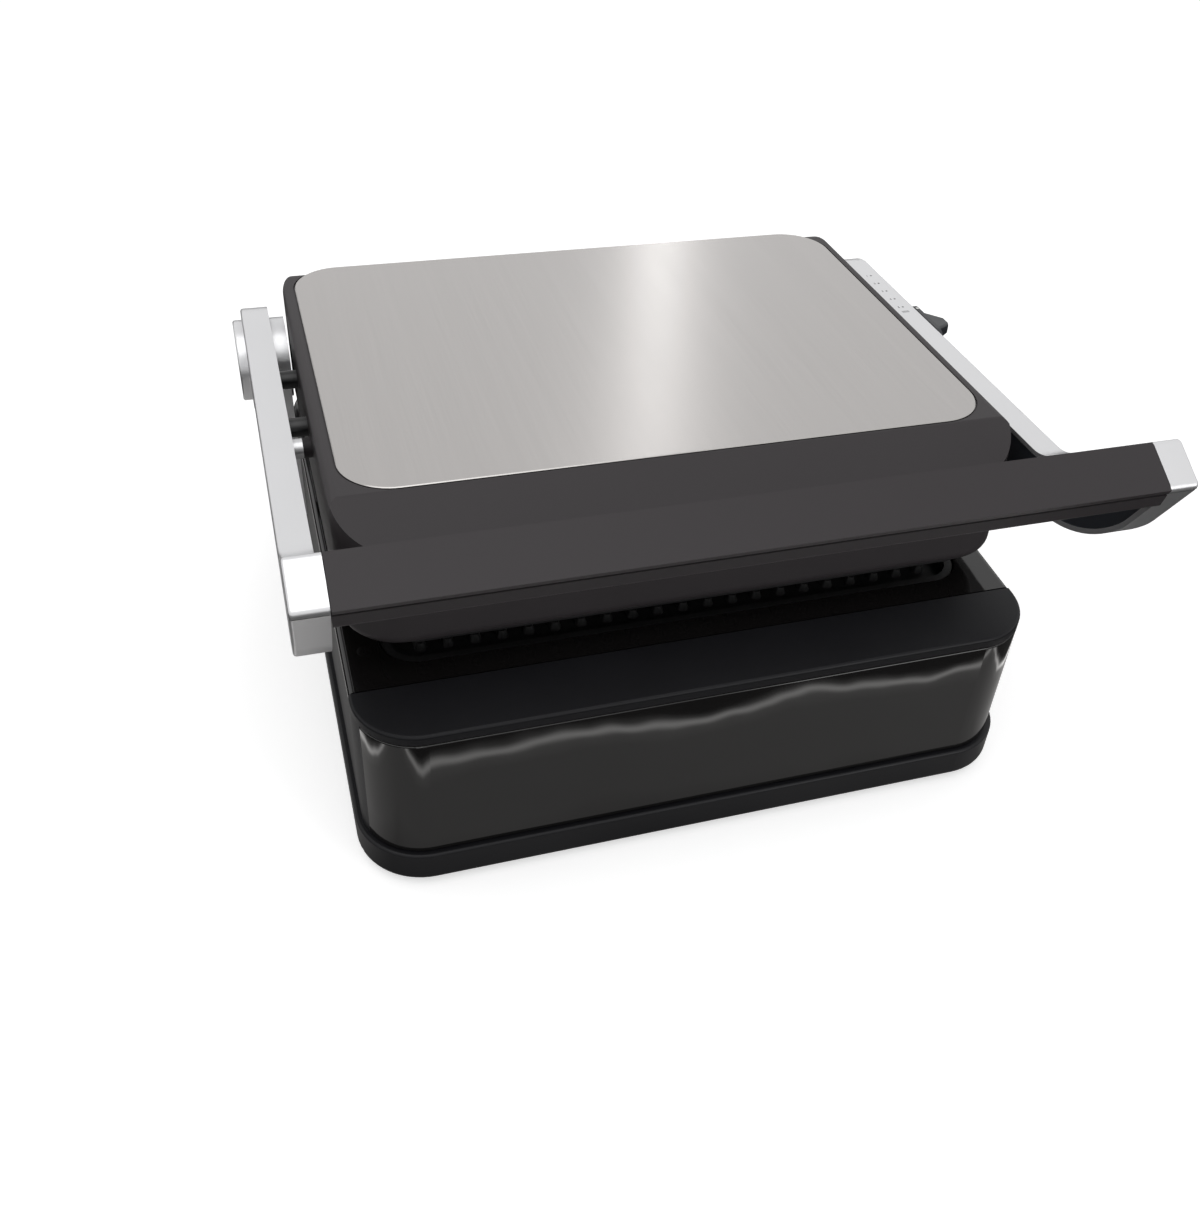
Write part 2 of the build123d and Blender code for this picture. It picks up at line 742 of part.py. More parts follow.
with BuildPart() as handle_screws:
    with BuildSketch(arm_plane(screw_seat_x)):
        with Locations(rod_at):
            Circle(screw_radius)
    extrude(amount=screw_seat_x - screw_tip_x)
    with BuildSketch(arm_plane(screw_seat_x + screw_head_height)):
        with Locations(rod_at):
            Circle(screw_head_radius)
    extrude(amount=screw_head_height)
    mirror(about=Plane.YZ)

# Screw places on the hinge brackets' legs
bracket_screw_spots = ((bracket_leg_front + 11.0, bracket_foot_z + 10.0), (bracket_leg_front + 12.0, 82.0))


def hinge_bracket():
    """Right hinge bracket: a drum on the hinge line, and a leg down the base's side wall."""
    with BuildPart() as bracket:
        with BuildSketch(Plane.YZ.offset(base_half)):
            with BuildLine():
                Polyline(
                    (hinge_y - hub_radius, hinge_z),
                    (bracket_leg_front, bracket_foot_z),
                    (bracket_leg_back, bracket_foot_z),
                    (bracket_leg_back + 4.0, base_top - 8.0),
                    (hinge_y + hub_radius - 4.0, hinge_z - 13.0),
                    (hinge_y, hinge_z),
                    close=True,
                )
            make_face()
            with Locations((hinge_y, hinge_z)):
                Circle(hub_radius)
        extrude(amount=bracket_outer_x - base_half)
        with BuildSketch(Plane.YZ.offset(bracket_inner_x)):
            with Locations((hinge_y, hinge_z)):
                Circle(hub_radius)
        extrude(amount=base_half - bracket_inner_x)
        with BuildSketch(Plane.YZ.offset(bracket_inner_x)):
            with Locations((hinge_y, hinge_z)):
                Circle(hinge_pin_radius)
            with Locations(*bracket_screw_spots):
                Circle(screw_radius)
        extrude(amount=arm_width, mode=Mode.SUBTRACT)
        with BuildSketch(Plane.YZ.offset(bracket_outer_x - screw_head_height)):
            with Locations(*bracket_screw_spots):
                Circle(screw_head_radius)
        extrude(amount=arm_width, mode=Mode.SUBTRACT)
    return bracket.part


# Hinge brackets that rise from the base's back corners, with their screws
with BuildPart() as right_hinge_bracket:
    add(hinge_bracket())
with BuildPart() as left_hinge_bracket:
    add(mirror(hinge_bracket(), about=Plane.YZ))
with BuildPart() as bracket_screws:
    with BuildSketch(Plane.YZ.offset(bracket_outer_x - screw_head_height)):
        with Locations(*bracket_screw_spots):
            Circle(screw_head_radius)
    extrude(amount=screw_head_height)
    with BuildSketch(Plane.YZ.offset(base_half - 2 * wall)):
        with Locations(*bracket_screw_spots):
            Circle(screw_radius)
    extrude(amount=bracket_outer_x - base_half + 2 * wall - screw_head_height)
    mirror(about=Plane.YZ)
with BuildPart(mode=Mode.PRIVATE) as screw_bores:
    with BuildSketch(Plane.YZ.offset(-base_half)):
        with Locations(*bracket_screw_spots):
            Circle(screw_radius)
    extrude(amount=base_width)
with base_housing:
    add(screw_bores.part, mode=Mode.SUBTRACT)

# Hinge pins, fixed in the brackets and running in the arms
with BuildPart() as hinge_pins:
    with BuildSketch(Plane.YZ.offset(bracket_inner_x)):
        with Locations((hinge_y, hinge_z)):
            Circle(hinge_pin_radius)
    extrude(amount=arm_outer_x - bracket_inner_x - 0.6)
    mirror(about=Plane.YZ)


def hinge_cap():
    """Right hinge cap: a shallow dished disc on the arm's outer face."""
    with BuildPart() as cap:
        with BuildSketch(Plane.YZ.offset(arm_outer_x)):
            with Locations((hinge_y, hinge_z)):
                Circle(hub_radius)
        extrude(amount=hub_cap_thickness)
        fillet(cap.edges().sort_by(Axis.X)[-1], 1.2)
        with BuildSketch(Plane.YZ.offset(arm_outer_x + hub_cap_thickness)):
            with Locations((hinge_y, hinge_z)):
                Circle(hub_radius - 5.0)
        extrude(amount=-0.8, mode=Mode.SUBTRACT)
    return cap.part


# Round silver caps over the hinge pins
with BuildPart() as right_hinge_cap:
    add(hinge_cap())
with BuildPart() as left_hinge_cap:
    add(mirror(hinge_cap(), about=Plane.YZ))


def lid_form(inset, low, high):
    """Lid between two heights: a rounded outline cut by a side view and a front view with soft edges."""
    with BuildPart() as form:
        with BuildSketch(lid_plane(low)):
            with Locations((0, (lid_front + lid_back) / 2)):
                RectangleRounded(
                    2 * (lid_half_width - inset), lid_back - lid_front - 2 * inset, lid_corner - inset
                )
        extrude(amount=high - low)
        with BuildSketch(lid_side_plane(-lid_half_width - 1)):
            with BuildLine():
                FilletPolyline(
                    (lid_front + inset, -lid_height - 1),
                    (lid_front + inset, -apron_drop - inset),
                    (apron_start, -inset),
                    (lid_back - inset, -inset),
                    (lid_back_low - inset, -lid_height - 1),
                    radius=(apron_round, 3.0, apron_round),
                )
                Line((lid_back_low - inset, -lid_height - 1), (lid_front + inset, -lid_height - 1))
            make_face()
        extrude(amount=2 * lid_half_width + 2, mode=Mode.INTERSECT)
        with BuildSketch(lid_front_plane) as front_view:
            with Locations((0, -lid_height / 2 - inset)):
                Rectangle(2 * (lid_half_width - inset), lid_height)
            fillet(front_view.vertices().group_by(Axis.Y)[-1], lid_edge_round)
        extrude(amount=-2 * base_depth, mode=Mode.INTERSECT)
    return form.part


# Lid housing: the upper shell, recessed for its steel plate, with black pivot bosses on both sides
lid_front_plane = Plane(
    origin=(0, -base_depth, lid_top_z + base_depth * sin(radians(pitch)) / cos(radians(pitch))),
    x_dir=(1, 0, 0),
    z_dir=(0, -pitch_cos, pitch_sin),
)
with BuildPart() as lid_housing:
    add(lid_form(0, -lid_split, 0))
    add(lid_form(wall, -lid_split - 1, lid_wall_top), mode=Mode.SUBTRACT)
    with BuildSketch(lid_plane(0)):
        with Locations((0, steel_mid)):
            RectangleRounded(
                steel_width + 2 * steel_groove, steel_depth + 2 * steel_groove, steel_corner + steel_groove
            )
    extrude(amount=-steel_thickness + steel_proud, mode=Mode.SUBTRACT)
    for side in (-1, 1):
        with BuildSketch(arm_plane(side * boss_end_x)):
            with Locations(pivot_at):
                Circle(pivot_boss_radius)
        extrude(amount=side * (boss_end_x - lid_half_width + wall))
    with BuildSketch(arm_plane(boss_end_x + 1)):
        with Locations(pivot_at):
            Circle(pivot_pin_radius + running_clearance)
    extrude(amount=2 * boss_end_x + 2, mode=Mode.SUBTRACT)

# Brushed steel plate on the lid
with BuildPart() as lid_steel_plate:
    with BuildSketch(lid_plane(-steel_thickness + steel_proud)):
        with Locations((0, steel_mid)):
            RectangleRounded(steel_width, steel_depth, steel_corner)
    extrude(amount=steel_thickness)
    chamfer(lid_steel_plate.faces().sort_by(Axis.Z)[-1].edges(), 0.4)

# Lid skirt: the lower shell, open underneath round the upper grill plate
with BuildPart() as lid_skirt:
    add(lid_form(0, -lid_height, -lid_split))
    skirt_bottom = lid_skirt.faces().sort_by(Axis.Z)[0]
    fillet(skirt_bottom.edges(), skirt_round)
    add(lid_form(wall, -lid_height + wall, -lid_split + 1), mode=Mode.SUBTRACT)
    with BuildSketch(lid_plane(-lid_height - 1)):
        plate_outline(plate_clearance)
    extrude(amount=wall + 2, mode=Mode.SUBTRACT)
    with BuildSketch(lid_plane(-lid_height)):
        with Locations(*lid_screw_spots):
            Circle(screw_radius)
    extrude(amount=wall, mode=Mode.SUBTRACT)
    with BuildSketch(lid_plane(-lid_height)):
        with Locations(*lid_screw_spots):
            Circle(screw_head_radius)
    extrude(amount=screw_head_height, mode=Mode.SUBTRACT)

# Screws and posts that hold the skirt under the housing
with BuildPart() as lid_posts:
    with BuildSketch(lid_plane(-lid_height + wall)):
        with Locations(*lid_screw_spots):
            Circle(post_radius)
            Circle(screw_radius, mode=Mode.SUBTRACT)
    extrude(amount=lid_height - wall + lid_wall_top - 1.0)
with BuildPart() as lid_screws:
    with BuildSketch(lid_plane(-lid_height)):
        with Locations(*lid_screw_spots):
            Circle(screw_radius)
    extrude(amount=screw_length)
    with BuildSketch(lid_plane(-lid_height)):
        with Locations(*lid_screw_spots):
            Circle(screw_head_radius)
    extrude(amount=screw_head_height)

# Upper grill plate: the lower one's twin, ribs down
with BuildPart() as upper_grill_plate:
    with BuildSketch(lid_plane(upper_floor_height)):
        plate_outline(0)
    extrude(amount=plate_thickness)
    with BuildSketch(lid_plane(upper_rib_height)):
        plate_outline(0)
        plate_outline(-plate_border, mode=Mode.SUBTRACT)
    extrude(amount=rib_height)
    add_ribs(lid_plane(upper_floor_height), -1)

# Upper heating element and its reflector pan
with BuildPart() as upper_element:
    with BuildLine() as upper_element_line:
        element_path(lid_plane(upper_plate_top + element_radius))
    with BuildSketch(Plane(origin=upper_element_line.line @ 0, z_dir=upper_element_line.line % 0)):
        Circle(element_radius)
    sweep(path=upper_element_line.line)
with BuildPart() as upper_reflector:
    with BuildSketch(lid_plane(upper_plate_top)):
        plate_outline(-reflector_inset)
    extrude(amount=reflector_depth)
    with BuildSketch(lid_plane(upper_plate_top)):
        plate_outline(-reflector_inset - reflector_thickness)
    extrude(amount=reflector_depth - reflector_thickness, mode=Mode.SUBTRACT)

# Temperature sensor on the upper plate
with BuildPart() as upper_sensor:
    with BuildSketch(lid_plane(upper_plate_top)):
        with Locations((0, plate_front + 60.0)):
            Circle(4.0)
    extrude(amount=reflector_depth - reflector_thickness)

# Pivot pins: fixed in the arms, with a head behind the lid's wall
with BuildPart() as pivot_pins:
    with BuildSketch(arm_plane(arm_outer_x - arm_wall)):
        with Locations(pivot_at):
            Circle(pivot_pin_radius)
    extrude(amount=arm_outer_x - arm_wall - pivot_head_x)
    with BuildSketch(arm_plane(pivot_head_x)):
        with Locations(pivot_at):
            Circle(pivot_boss_radius)
    extrude(amount=pivot_head_thickness)
    mirror(about=Plane.YZ)

# Guide pins on the lid's sides that swing in the arm covers' slots
with BuildPart() as guide_pins:
    with BuildSketch(arm_plane(cover_outer_x + 1.0)):
        with Locations(rear_guide_at, front_guide_at):
            Circle(guide_pin_radius)
    extrude(amount=cover_outer_x + 1.0 - lid_half_width)
    mirror(about=Plane.YZ)

# Height slider on the right arm: a finger fin on a foot, a neck through the slot and a plate behind it
foot_inner_x = arm_outer_x + slider_stand_off
foot_outer_x = foot_inner_x + slider_foot_thickness
slider_plate_x = arm_outer_x - arm_wall - slider_stand_off
with BuildPart() as height_slider:
    with BuildSketch(arm_plane(foot_outer_x)):
        with Locations((slider_s, slider_t)):
            SlotOverall(slider_foot_length, slider_foot_height)
    extrude(amount=slider_foot_thickness)
    with BuildSketch(arm_plane(foot_outer_x)):
        with Locations((slider_s, slider_t)):
            RectangleRounded(slider_foot_length - 16.0, slider_foot_height - 3.0, 2.0)
    with BuildSketch(arm_plane(slider_tip_x)):
        with Locations((slider_s, slider_t)):
            RectangleRounded(slider_tip_length, slider_foot_height - 6.0, 2.0)
    loft()
    with BuildSketch(arm_plane(foot_inner_x)):
        with Locations((slider_s, slider_t)):
            RectangleRounded(slider_neck_length, slider_neck_height, 1.0)
    extrude(amount=foot_inner_x - slider_plate_x)
    with BuildSketch(arm_plane(slider_plate_x)):
        with Locations((slider_s, slider_t)):
            Rectangle(slider_neck_length + 6.0, slider_neck_height + 3.0)
    extrude(amount=1.5)

# Screws through the bottom cover into the corner posts
with BuildPart() as base_screws:
    with BuildSketch(Plane.XY.offset(rim_bottom)):
        with GridLocations(2 * post_x, 2 * post_y, 2, 2):
            Circle(screw_radius)
    extrude(amount=screw_length)
    with BuildSketch(Plane.XY.offset(rim_bottom)):
        with GridLocations(2 * post_x, 2 * post_y, 2, 2):
            Circle(screw_head_radius)
    extrude(amount=screw_head_height)
with bottom_cover:
    add(base_screws.part, mode=Mode.SUBTRACT)

# One named file for each piece
pieces = {
    "bottom_cover": bottom_cover,
    "rubber_feet": rubber_feet,
    "base_housing": base_housing,
    "front_panel": front_panel,
    "front_strip": front_strip,
    "top_frame": top_frame,
    "lower_grill_plate": lower_grill_plate,
    "lower_element": lower_element,
    "lower_reflector": lower_reflector,
    "lower_sensor": lower_sensor,
    "drain_chute": drain_chute,
    "drip_tray": drip_tray,
    "tray_runners": tray_runners,
    "control_board": control_board,
    "power_board": power_board,
    "cord_gland": cord_gland,
    "corner_posts": corner_posts,
    "base_screws": base_screws,
    "right_hinge_bracket": right_hinge_bracket,
    "left_hinge_bracket": left_hinge_bracket,
    "bracket_screws": bracket_screws,
    "hinge_pins": hinge_pins,
    "right_arm": right_arm,
    "left_arm": left_arm,
    "right_arm_cover": right_arm_cover,
    "left_arm_cover": left_arm_cover,
    "right_end_cap": right_end_cap,
    "left_end_cap": left_end_cap,
    "right_hinge_cap": right_hinge_cap,
    "left_hinge_cap": left_hinge_cap,
    "handle_upper_cover": handle_upper_cover,
    "handle_lower_cover": handle_lower_cover,
    "handle_rod": handle_rod,
    "handle_screws": handle_screws,
    "pivot_pins": pivot_pins,
    "lid_housing": lid_housing,
    "lid_steel_plate": lid_steel_plate,
    "lid_skirt": lid_skirt,
    "lid_posts": lid_posts,
    "lid_screws": lid_screws,
    "upper_grill_plate": upper_grill_plate,
    "upper_element": upper_element,
    "upper_reflector": upper_reflector,
    "upper_sensor": upper_sensor,
    "guide_pins": guide_pins,
    "height_slider": height_slider,
}
for name, piece in pieces.items():
    piece.part.label = name
    export_step(piece.part, f"parts/{name}.step")
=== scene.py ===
"""Looks of a contact grill: finishes, printed scale marks, screw recesses, stage and camera."""

import math

import bmesh
import bpy
import numpy as np
from mathutils import Matrix, Vector


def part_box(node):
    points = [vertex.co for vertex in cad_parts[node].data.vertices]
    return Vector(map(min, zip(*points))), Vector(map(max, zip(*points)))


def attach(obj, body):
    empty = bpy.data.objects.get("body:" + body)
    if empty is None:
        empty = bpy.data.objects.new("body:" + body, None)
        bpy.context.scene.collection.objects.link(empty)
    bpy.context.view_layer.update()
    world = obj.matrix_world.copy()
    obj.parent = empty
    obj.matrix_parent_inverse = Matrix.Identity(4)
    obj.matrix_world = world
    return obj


bl_info = {
    "name": "Contact Grill Looks",
    "version": (1, 0, 0),
    "blender": (4, 5, 0),
    "location": "3D View > Sidebar > Grill",
    "description": "Finishes, printed marks, screw recesses and stage for a contact grill",
    "category": "Object",
}

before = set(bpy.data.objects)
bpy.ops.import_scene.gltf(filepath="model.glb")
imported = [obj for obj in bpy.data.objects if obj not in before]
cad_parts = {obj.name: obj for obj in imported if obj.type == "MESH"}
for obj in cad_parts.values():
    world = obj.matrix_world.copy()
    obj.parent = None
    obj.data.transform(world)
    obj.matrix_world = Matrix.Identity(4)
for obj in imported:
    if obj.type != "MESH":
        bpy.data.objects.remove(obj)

MM = 0.001
PITCH = math.radians(3.0)
HINGE_Y = 128.0 * MM
HINGE_Z = 129.0 * MM
BASE_HALF_X = 0.167
BASE_HALF_Y = 0.150

# Height scale on the right arm: its dots lie a shift inwards of the middle of an inner edge and the outer face
ARM_TOP = 28.0 * MM
PRINT_SINK = 0.01 * MM
SCALE_INNER_X = 181.0 * MM
SCALE_SHIFT = 3.4 * MM
DOT_COUNT = 5
DOT_SIDES = 24
NUMBER_SHIFT = 2.6 * MM
NUMBER_STEPS = 4
STROKE_SHIFT = 1.2 * MM
STROKE_PLACES = (5.4 * MM, 6.6 * MM)
STROKE_HALF = (2.2 * MM, 0.18 * MM)

# Painted highlight on the slider, a pale stroke on its top edge: across the grill, along the arm and up from
# it
HIGHLIGHT_PLACE = (189.5 * MM, 65.8 * MM, 27.49 * MM)
HIGHLIGHT_HALF = (0.85 * MM, 0.9 * MM)

# Screw faces, with places in millimetres; the lid's are in its own plane, tilted by the pitch
HEAD_RADIUS = 3.55
HEAD_RINGS, HEAD_SPOKES = 26, 72
DOME_FALL = 0.5
RECESS_SHARE = 0.75
RECESS_BAR = 0.26
RECESS_END = 3.0
HANDLE_SCREW = (186.21, 304.5, 64.5)
BRACKET_SCREW_X = 173.21
BRACKET_SCREWS = ((109.0, 50.0), (110.0, 82.0))
BASE_SCREW_X, BASE_SCREW_Z = 155.5, 3.99
BASE_SCREW_ROWS = (-109.0, 109.0)
LID_TOP_Z = 175.3
LID_SCREW_X, LID_SCREW_HEIGHT = 155.0, -66.01
LID_SCREW_ROWS = (-72.0, 100.0)

# Colours of the small and the hidden pieces
RUBBER_GREY = (0.016, 0.016, 0.016)
PIN_STEEL = (0.42, 0.42, 0.42)
SHEET_STEEL = (0.50, 0.50, 0.51)
TUBE_BROWN = (0.19, 0.165, 0.14)
PIN_BLACK = (0.012, 0.012, 0.013)
BOARD_GREEN = (0.012, 0.085, 0.035)
SCALE_INK = (0.020, 0.020, 0.022)
# pale colour of the painted highlight on the slider's top edge
PAINTED_HIGHLIGHT_COLOR = (0.70, 0.70, 0.68)
SCREW_STEEL = (0.38, 0.38, 0.385)

# Painted reflection, a glow from the floor that only glossy rays see: ramp places per metre from the base,
# with a brightness at each place; the dim stops near the base are painted shade, the bright stop a painted
# highlight line
FLOOR_HALF = 6.0
REFLECTION_WAVE_SCALE = 8.0
REFLECTION_WAVE_DEPTH = 0.045
REFLECTION_RAMP = 4.0
REFLECTION_TINT = (0.985, 0.97)
PAINTED_REFLECTION_STOPS = (
    (0.0, 0.20), (0.05, 0.34), (0.10, 0.42), (0.24, 0.46), (0.272, 0.60), (0.287, 2.3),
    (0.304, 0.35), (0.32, 0.06), (0.41, 0.05), (0.43, 0.4), (0.45, 0.04), (1.0, 0.04),
)

# Lamps: place, target, and width and height
KEY_LAMP = ((-0.25, -0.35, 1.55), (0.0, 0.0, 0.1), (1.5, 1.3))
BAND_LAMP = ((0.50, 1.45, 0.86), (0.02, 0.05, 0.17), (0.05, 0.95))
FRONT_LAMP = ((0.75, -1.35, 0.55), (0.05, -0.1, 0.06), (0.5, 0.9))
FRONT_SHARE = 0.45
WHITE = (1.0, 1.0, 1.0, 1.0)

# Camera: its place and axes, and its focal length, shift and frame height in pixels
CAMERA_PLACE = (-0.19034, -0.54710, 0.52281)
CAMERA_RIGHT = (0.95173, -0.29883, 0.07012)
CAMERA_DOWN = (-0.14070, -0.62776, -0.76559)
CAMERA_AHEAD = (0.27280, 0.71877, -0.63950)
FOCAL_PIXELS = 1324.0
SHIFT_PIXELS = (-55.0, -26.0)
FRAME_PIXELS = 1212.0
SENSOR = 36.0
NEAREST = 0.01

LID_SHELL_NODES = ("lid_housing", "lid_skirt")
HANDLE_NODES = ("handle_upper_cover", "handle_lower_cover")
SILVER_NODES = (
    "right_arm", "left_arm", "right_end_cap", "left_end_cap", "right_hinge_cap", "left_hinge_cap",
    "right_hinge_bracket", "left_hinge_bracket",
)
ARM_COVER_NODES = ("right_arm_cover", "left_arm_cover")
BASE_SHELL_NODES = ("base_housing", "drip_tray", "tray_runners", "corner_posts", "lid_posts")
RIM_NODES = ("bottom_cover",)
GLOSS_NODES = ("front_panel", "top_frame")
RUBBER_NODES = ("rubber_feet", "cord_gland")
PLATE_NODES = ("lower_grill_plate", "upper_grill_plate")
SHEET_NODES = ("lower_reflector", "upper_reflector", "drain_chute")
TUBE_NODES = ("lower_element", "upper_element", "lower_sensor", "upper_sensor")
PIN_NODES = (
    "hinge_pins", "pivot_pins", "handle_rod", "handle_screws", "bracket_screws",
    "base_screws", "lid_screws",
)
BLACK_PIN_NODES = ("guide_pins",)
BOARD_NODES = ("control_board", "power_board")


def color_property(name, description, default):
    """A colour a user can set, without alpha."""
    return bpy.props.FloatVectorProperty(
        name=name, description=description, subtype="COLOR", size=3, min=0.0, max=1.0, default=default
    )


def length_property(name, description, default):
    """A length a user can set, in metres."""
    return bpy.props.FloatProperty(
        name=name, description=description, unit="LENGTH", subtype="DISTANCE", min=0.0, default=default
    )


class GrillFinishSettings(bpy.types.PropertyGroup):
    """Colours of the grill's finishes."""

    charcoal: color_property("Charcoal", "Moulded shells of the lid and the handle", (0.036, 0.032, 0.034))
    black: color_property("Black", "Matte strip, rim and walls of the base", (0.007, 0.007, 0.0085))
    gloss: color_property("Gloss", "Front panel and the frame round the plate", (0.006, 0.0055, 0.0055))
    silver: color_property("Silver", "Satin arms, caps and hinge drums", (0.68, 0.68, 0.69))
    steel: color_property("Steel", "Brushed plate on the lid", (0.43, 0.415, 0.405))
    coating: color_property("Coating", "Non-stick coat of the grill plates", (0.014, 0.014, 0.0145))
    cover: color_property("Arm Cover", "Inner covers of the arms", (0.016, 0.018, 0.022))


class GrillMarkSettings(bpy.types.PropertyGroup):
    """Sizes of the printed scale and the screw recesses."""

    dot_radius: length_property("Dot Radius", "Radius of a scale dot", 0.0006)
    dot_pitch: length_property("Dot Pitch", "Step between scale dots along the arm", 0.011)
    first_dot: length_property("First Dot", "Place of the first dot, along the arm from the hinge", 0.0195)
    print_height: length_property("Print Height", "Height of the print above the metal", 0.00006)
    number_size: length_property("Number Size", "Height of the scale's numbers", 0.0024)
    recess_radius: length_property("Recess Radius", "Reach of the cross recess in a screw head", 0.0022)
    dome_height: length_property("Dome Height", "Rise of a screw head over its seat", 0.0012)


class GrillStageSettings(bpy.types.PropertyGroup):
    """Light and floor of the stage."""

    key_power: bpy.props.FloatProperty(
        name="Key Power", description="Power of the large lamp above", unit="POWER", default=8.0
    )
    band_power: bpy.props.FloatProperty(
        name="Band Power", description="Power of the tall strip that shines along the steel",
        unit="POWER", default=0.42,
    )
    fill_strength: bpy.props.FloatProperty(
        name="Fill Strength", description="Light of the surroundings on matte surfaces",
        min=0.0, default=0.55,
    )
    floor_glow: bpy.props.FloatProperty(
        name="Floor Glow", description="White that the camera sees in the floor", min=0.0, default=0.55
    )


# Arms and lid: from places along and across the arm to the frame's own axes


def arm_point(x, along, across):
    """World point of arm coordinates, turned by the pitch p about the hinge line.

    Y = hinge - along cos p + across sin p, Z = hinge + along sin p + across cos p.
    """
    x, along, across = np.broadcast_arrays(np.asarray(x, float), along, across)
    y = HINGE_Y - along * math.cos(PITCH) + across * math.sin(PITCH)
    z = HINGE_Z + along * math.sin(PITCH) + across * math.cos(PITCH)
    return np.stack((x, y, z), axis=-1)


# Meshes from whole arrays


def grid_faces(rows, columns, closed):
    """Quads of a grid of rows by columns points, wrapping round the columns if closed."""
    row = np.arange(rows - 1)[:, None]
    span = columns if closed else columns - 1
    column = np.arange(span)[None, :]
    following = (column + 1) % columns
    corners = (
        row * columns + column,
        row * columns + following,
        (row + 1) * columns + following,
        (row + 1) * columns + column,
    )
    return np.stack(corners, axis=-1).reshape(-1, 4)


def mesh_object(name, points, faces, material, body):
    """A new piece at the origin, from arrays of points and faces, that rides on a body."""
    mesh = bpy.data.meshes.new(name)
    mesh.from_pydata(points.reshape(-1, 3).tolist(), [], [list(map(int, f)) for f in faces])
    mesh.validate()
    mesh.update()
    mesh.materials.append(material)
    piece = bpy.data.objects.new(name, mesh)
    bpy.context.scene.collection.objects.link(piece)
    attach(piece, body)
    return piece


def recess_depth(u, v, reach):
    """Depth share of a cross recess from two crossed bars, each the root of 1 - |across| / half width.

    A bar ends steeply at its reach, by a share of 3 (1 - |along| / reach) held between 0 and 1.
    """

    def bar(along, across):
        side = np.clip(1.0 - np.abs(across) / (RECESS_BAR * reach), 0.0, 1.0)
        end = np.clip((1.0 - np.abs(along) / reach) * RECESS_END, 0.0, 1.0)
        return np.sqrt(side) * end

    return np.maximum(bar(u, v), bar(v, u))


def screw_face(radius, reach, dome):
    """Screw face: height = dome (1 - (r/R)^2 / 2) - 3/4 dome times the cross recess, closed underneath."""
    r = np.linspace(0.0, 1.0, HEAD_RINGS)[:, None] * radius
    a = np.arange(HEAD_SPOKES)[None, :] * 2.0 * math.pi / HEAD_SPOKES
    u, v = r * np.cos(a), r * np.sin(a)
    height = dome * (1.0 - DOME_FALL * (r / radius) ** 2) - RECESS_SHARE * dome * recess_depth(u, v, reach)
    top = np.stack((u, v, height), axis=-1)
    foot = np.stack((u[-1], v[-1], np.zeros(HEAD_SPOKES)), axis=-1)[None]
    middle = np.zeros((1, HEAD_SPOKES, 3))
    points = np.concatenate((top, foot, middle))
    return points, grid_faces(len(points), HEAD_SPOKES, True)


def placed(points, centre, across, along, outwards):
    """World points of flat ones: centre + u across + v along + w outwards."""
    axes = np.array((across, along, outwards), float)
    return np.asarray(centre, float) + points @ axes


def disc(radius, height, sides):
    """Low disc with a bevelled edge: rings of radius 0, 0.92 R, R, R and 0 at heights h, h, 0.8 h, 0 and 0."""
    a = np.arange(sides) * 2.0 * math.pi / sides
    ring = np.stack((np.cos(a), np.sin(a)), axis=-1)
    radii = np.array((0.0, 0.92, 1.0, 1.0, 0.0)) * radius
    heights = np.array((1.0, 1.0, 0.8, 0.0, 0.0)) * height
    points = np.concatenate(
        (radii[:, None, None] * ring[None], np.repeat(heights[:, None], sides, 1)[..., None]), axis=-1
    )
    return points, grid_faces(len(radii), sides, True)


def slab(half_across, half_along, height):
    """Thin closed box on a plane: four corners at height 0, and the same four at its height."""
    corners = np.array(((-1, -1, 0), (1, -1, 0), (1, 1, 0), (-1, 1, 0)), float)
    points = np.stack((corners, corners + (0, 0, 1))) * (half_across, half_along, height)
    ends = np.array(((3, 2, 1, 0), (4, 5, 6, 7)))
    return points, np.concatenate((grid_faces(2, 4, True), ends))


def joined(parts):
    """One array of points and one of faces from several pairs."""
    points, faces, start = [], [], 0
    for part_points, part_faces in parts:
        flat = part_points.reshape(-1, 3)
        points.append(flat)
        faces.append(part_faces + start)
        start += len(flat)
    return np.concatenate(points), np.concatenate(faces)


def merged(piece):
    """Closes the poles and seams of a new piece, and points its faces outwards."""
    work = bmesh.new()
    work.from_mesh(piece.data)
    bmesh.ops.remove_doubles(work, verts=work.verts, dist=1e-7)
    bmesh.ops.dissolve_degenerate(work, edges=work.edges, dist=1e-8)
    bmesh.ops.recalc_face_normals(work, faces=work.faces)
    work.to_mesh(piece.data)
    work.free()
    return piece


# Shared shader effects, as node groups that put out colours, values and normals


def group_with(name, inputs, outputs):
    """A shader node group with named sockets: inputs as (name, type, default), outputs as (name, type)."""
    group = bpy.data.node_groups.new(name, "ShaderNodeTree")
    for label, kind, default in inputs:
        socket = group.interface.new_socket(name=label, in_out="INPUT", socket_type=kind)
        socket.default_value = default
    for label, kind in outputs:
        group.interface.new_socket(name=label, in_out="OUTPUT", socket_type=kind)
    entry = group.nodes.new("NodeGroupInput")
    leave = group.nodes.new("NodeGroupOutput")
    return group, entry, leave


def add_node(tree, kind, settings=None, values=None):
    """A node with its settings and unlinked socket values."""
    node = tree.nodes.new(kind)
    for key, value in (settings or {}).items():
        setattr(node, key, value)
    for key, value in (values or {}).items():
        node.inputs[key].default_value = value
    return node


def tinted(group, color, share, amount):
    """Colour times 1 + amount (share - 1/2), as an output socket inside a group."""
    shift = add_node(group, "ShaderNodeMath", {"operation": "SUBTRACT"}, {1: 0.5})
    group.links.new(share, shift.inputs[0])
    scale = add_node(group, "ShaderNodeMath", {"operation": "MULTIPLY_ADD"}, {2: 1.0})
    group.links.new(shift.outputs[0], scale.inputs[0])
    group.links.new(amount, scale.inputs[1])
    tint = add_node(group, "ShaderNodeVectorMath", {"operation": "SCALE"})
    group.links.new(color, tint.inputs[0])
    group.links.new(scale.outputs[0], tint.inputs["Scale"])
    return tint.outputs[0]


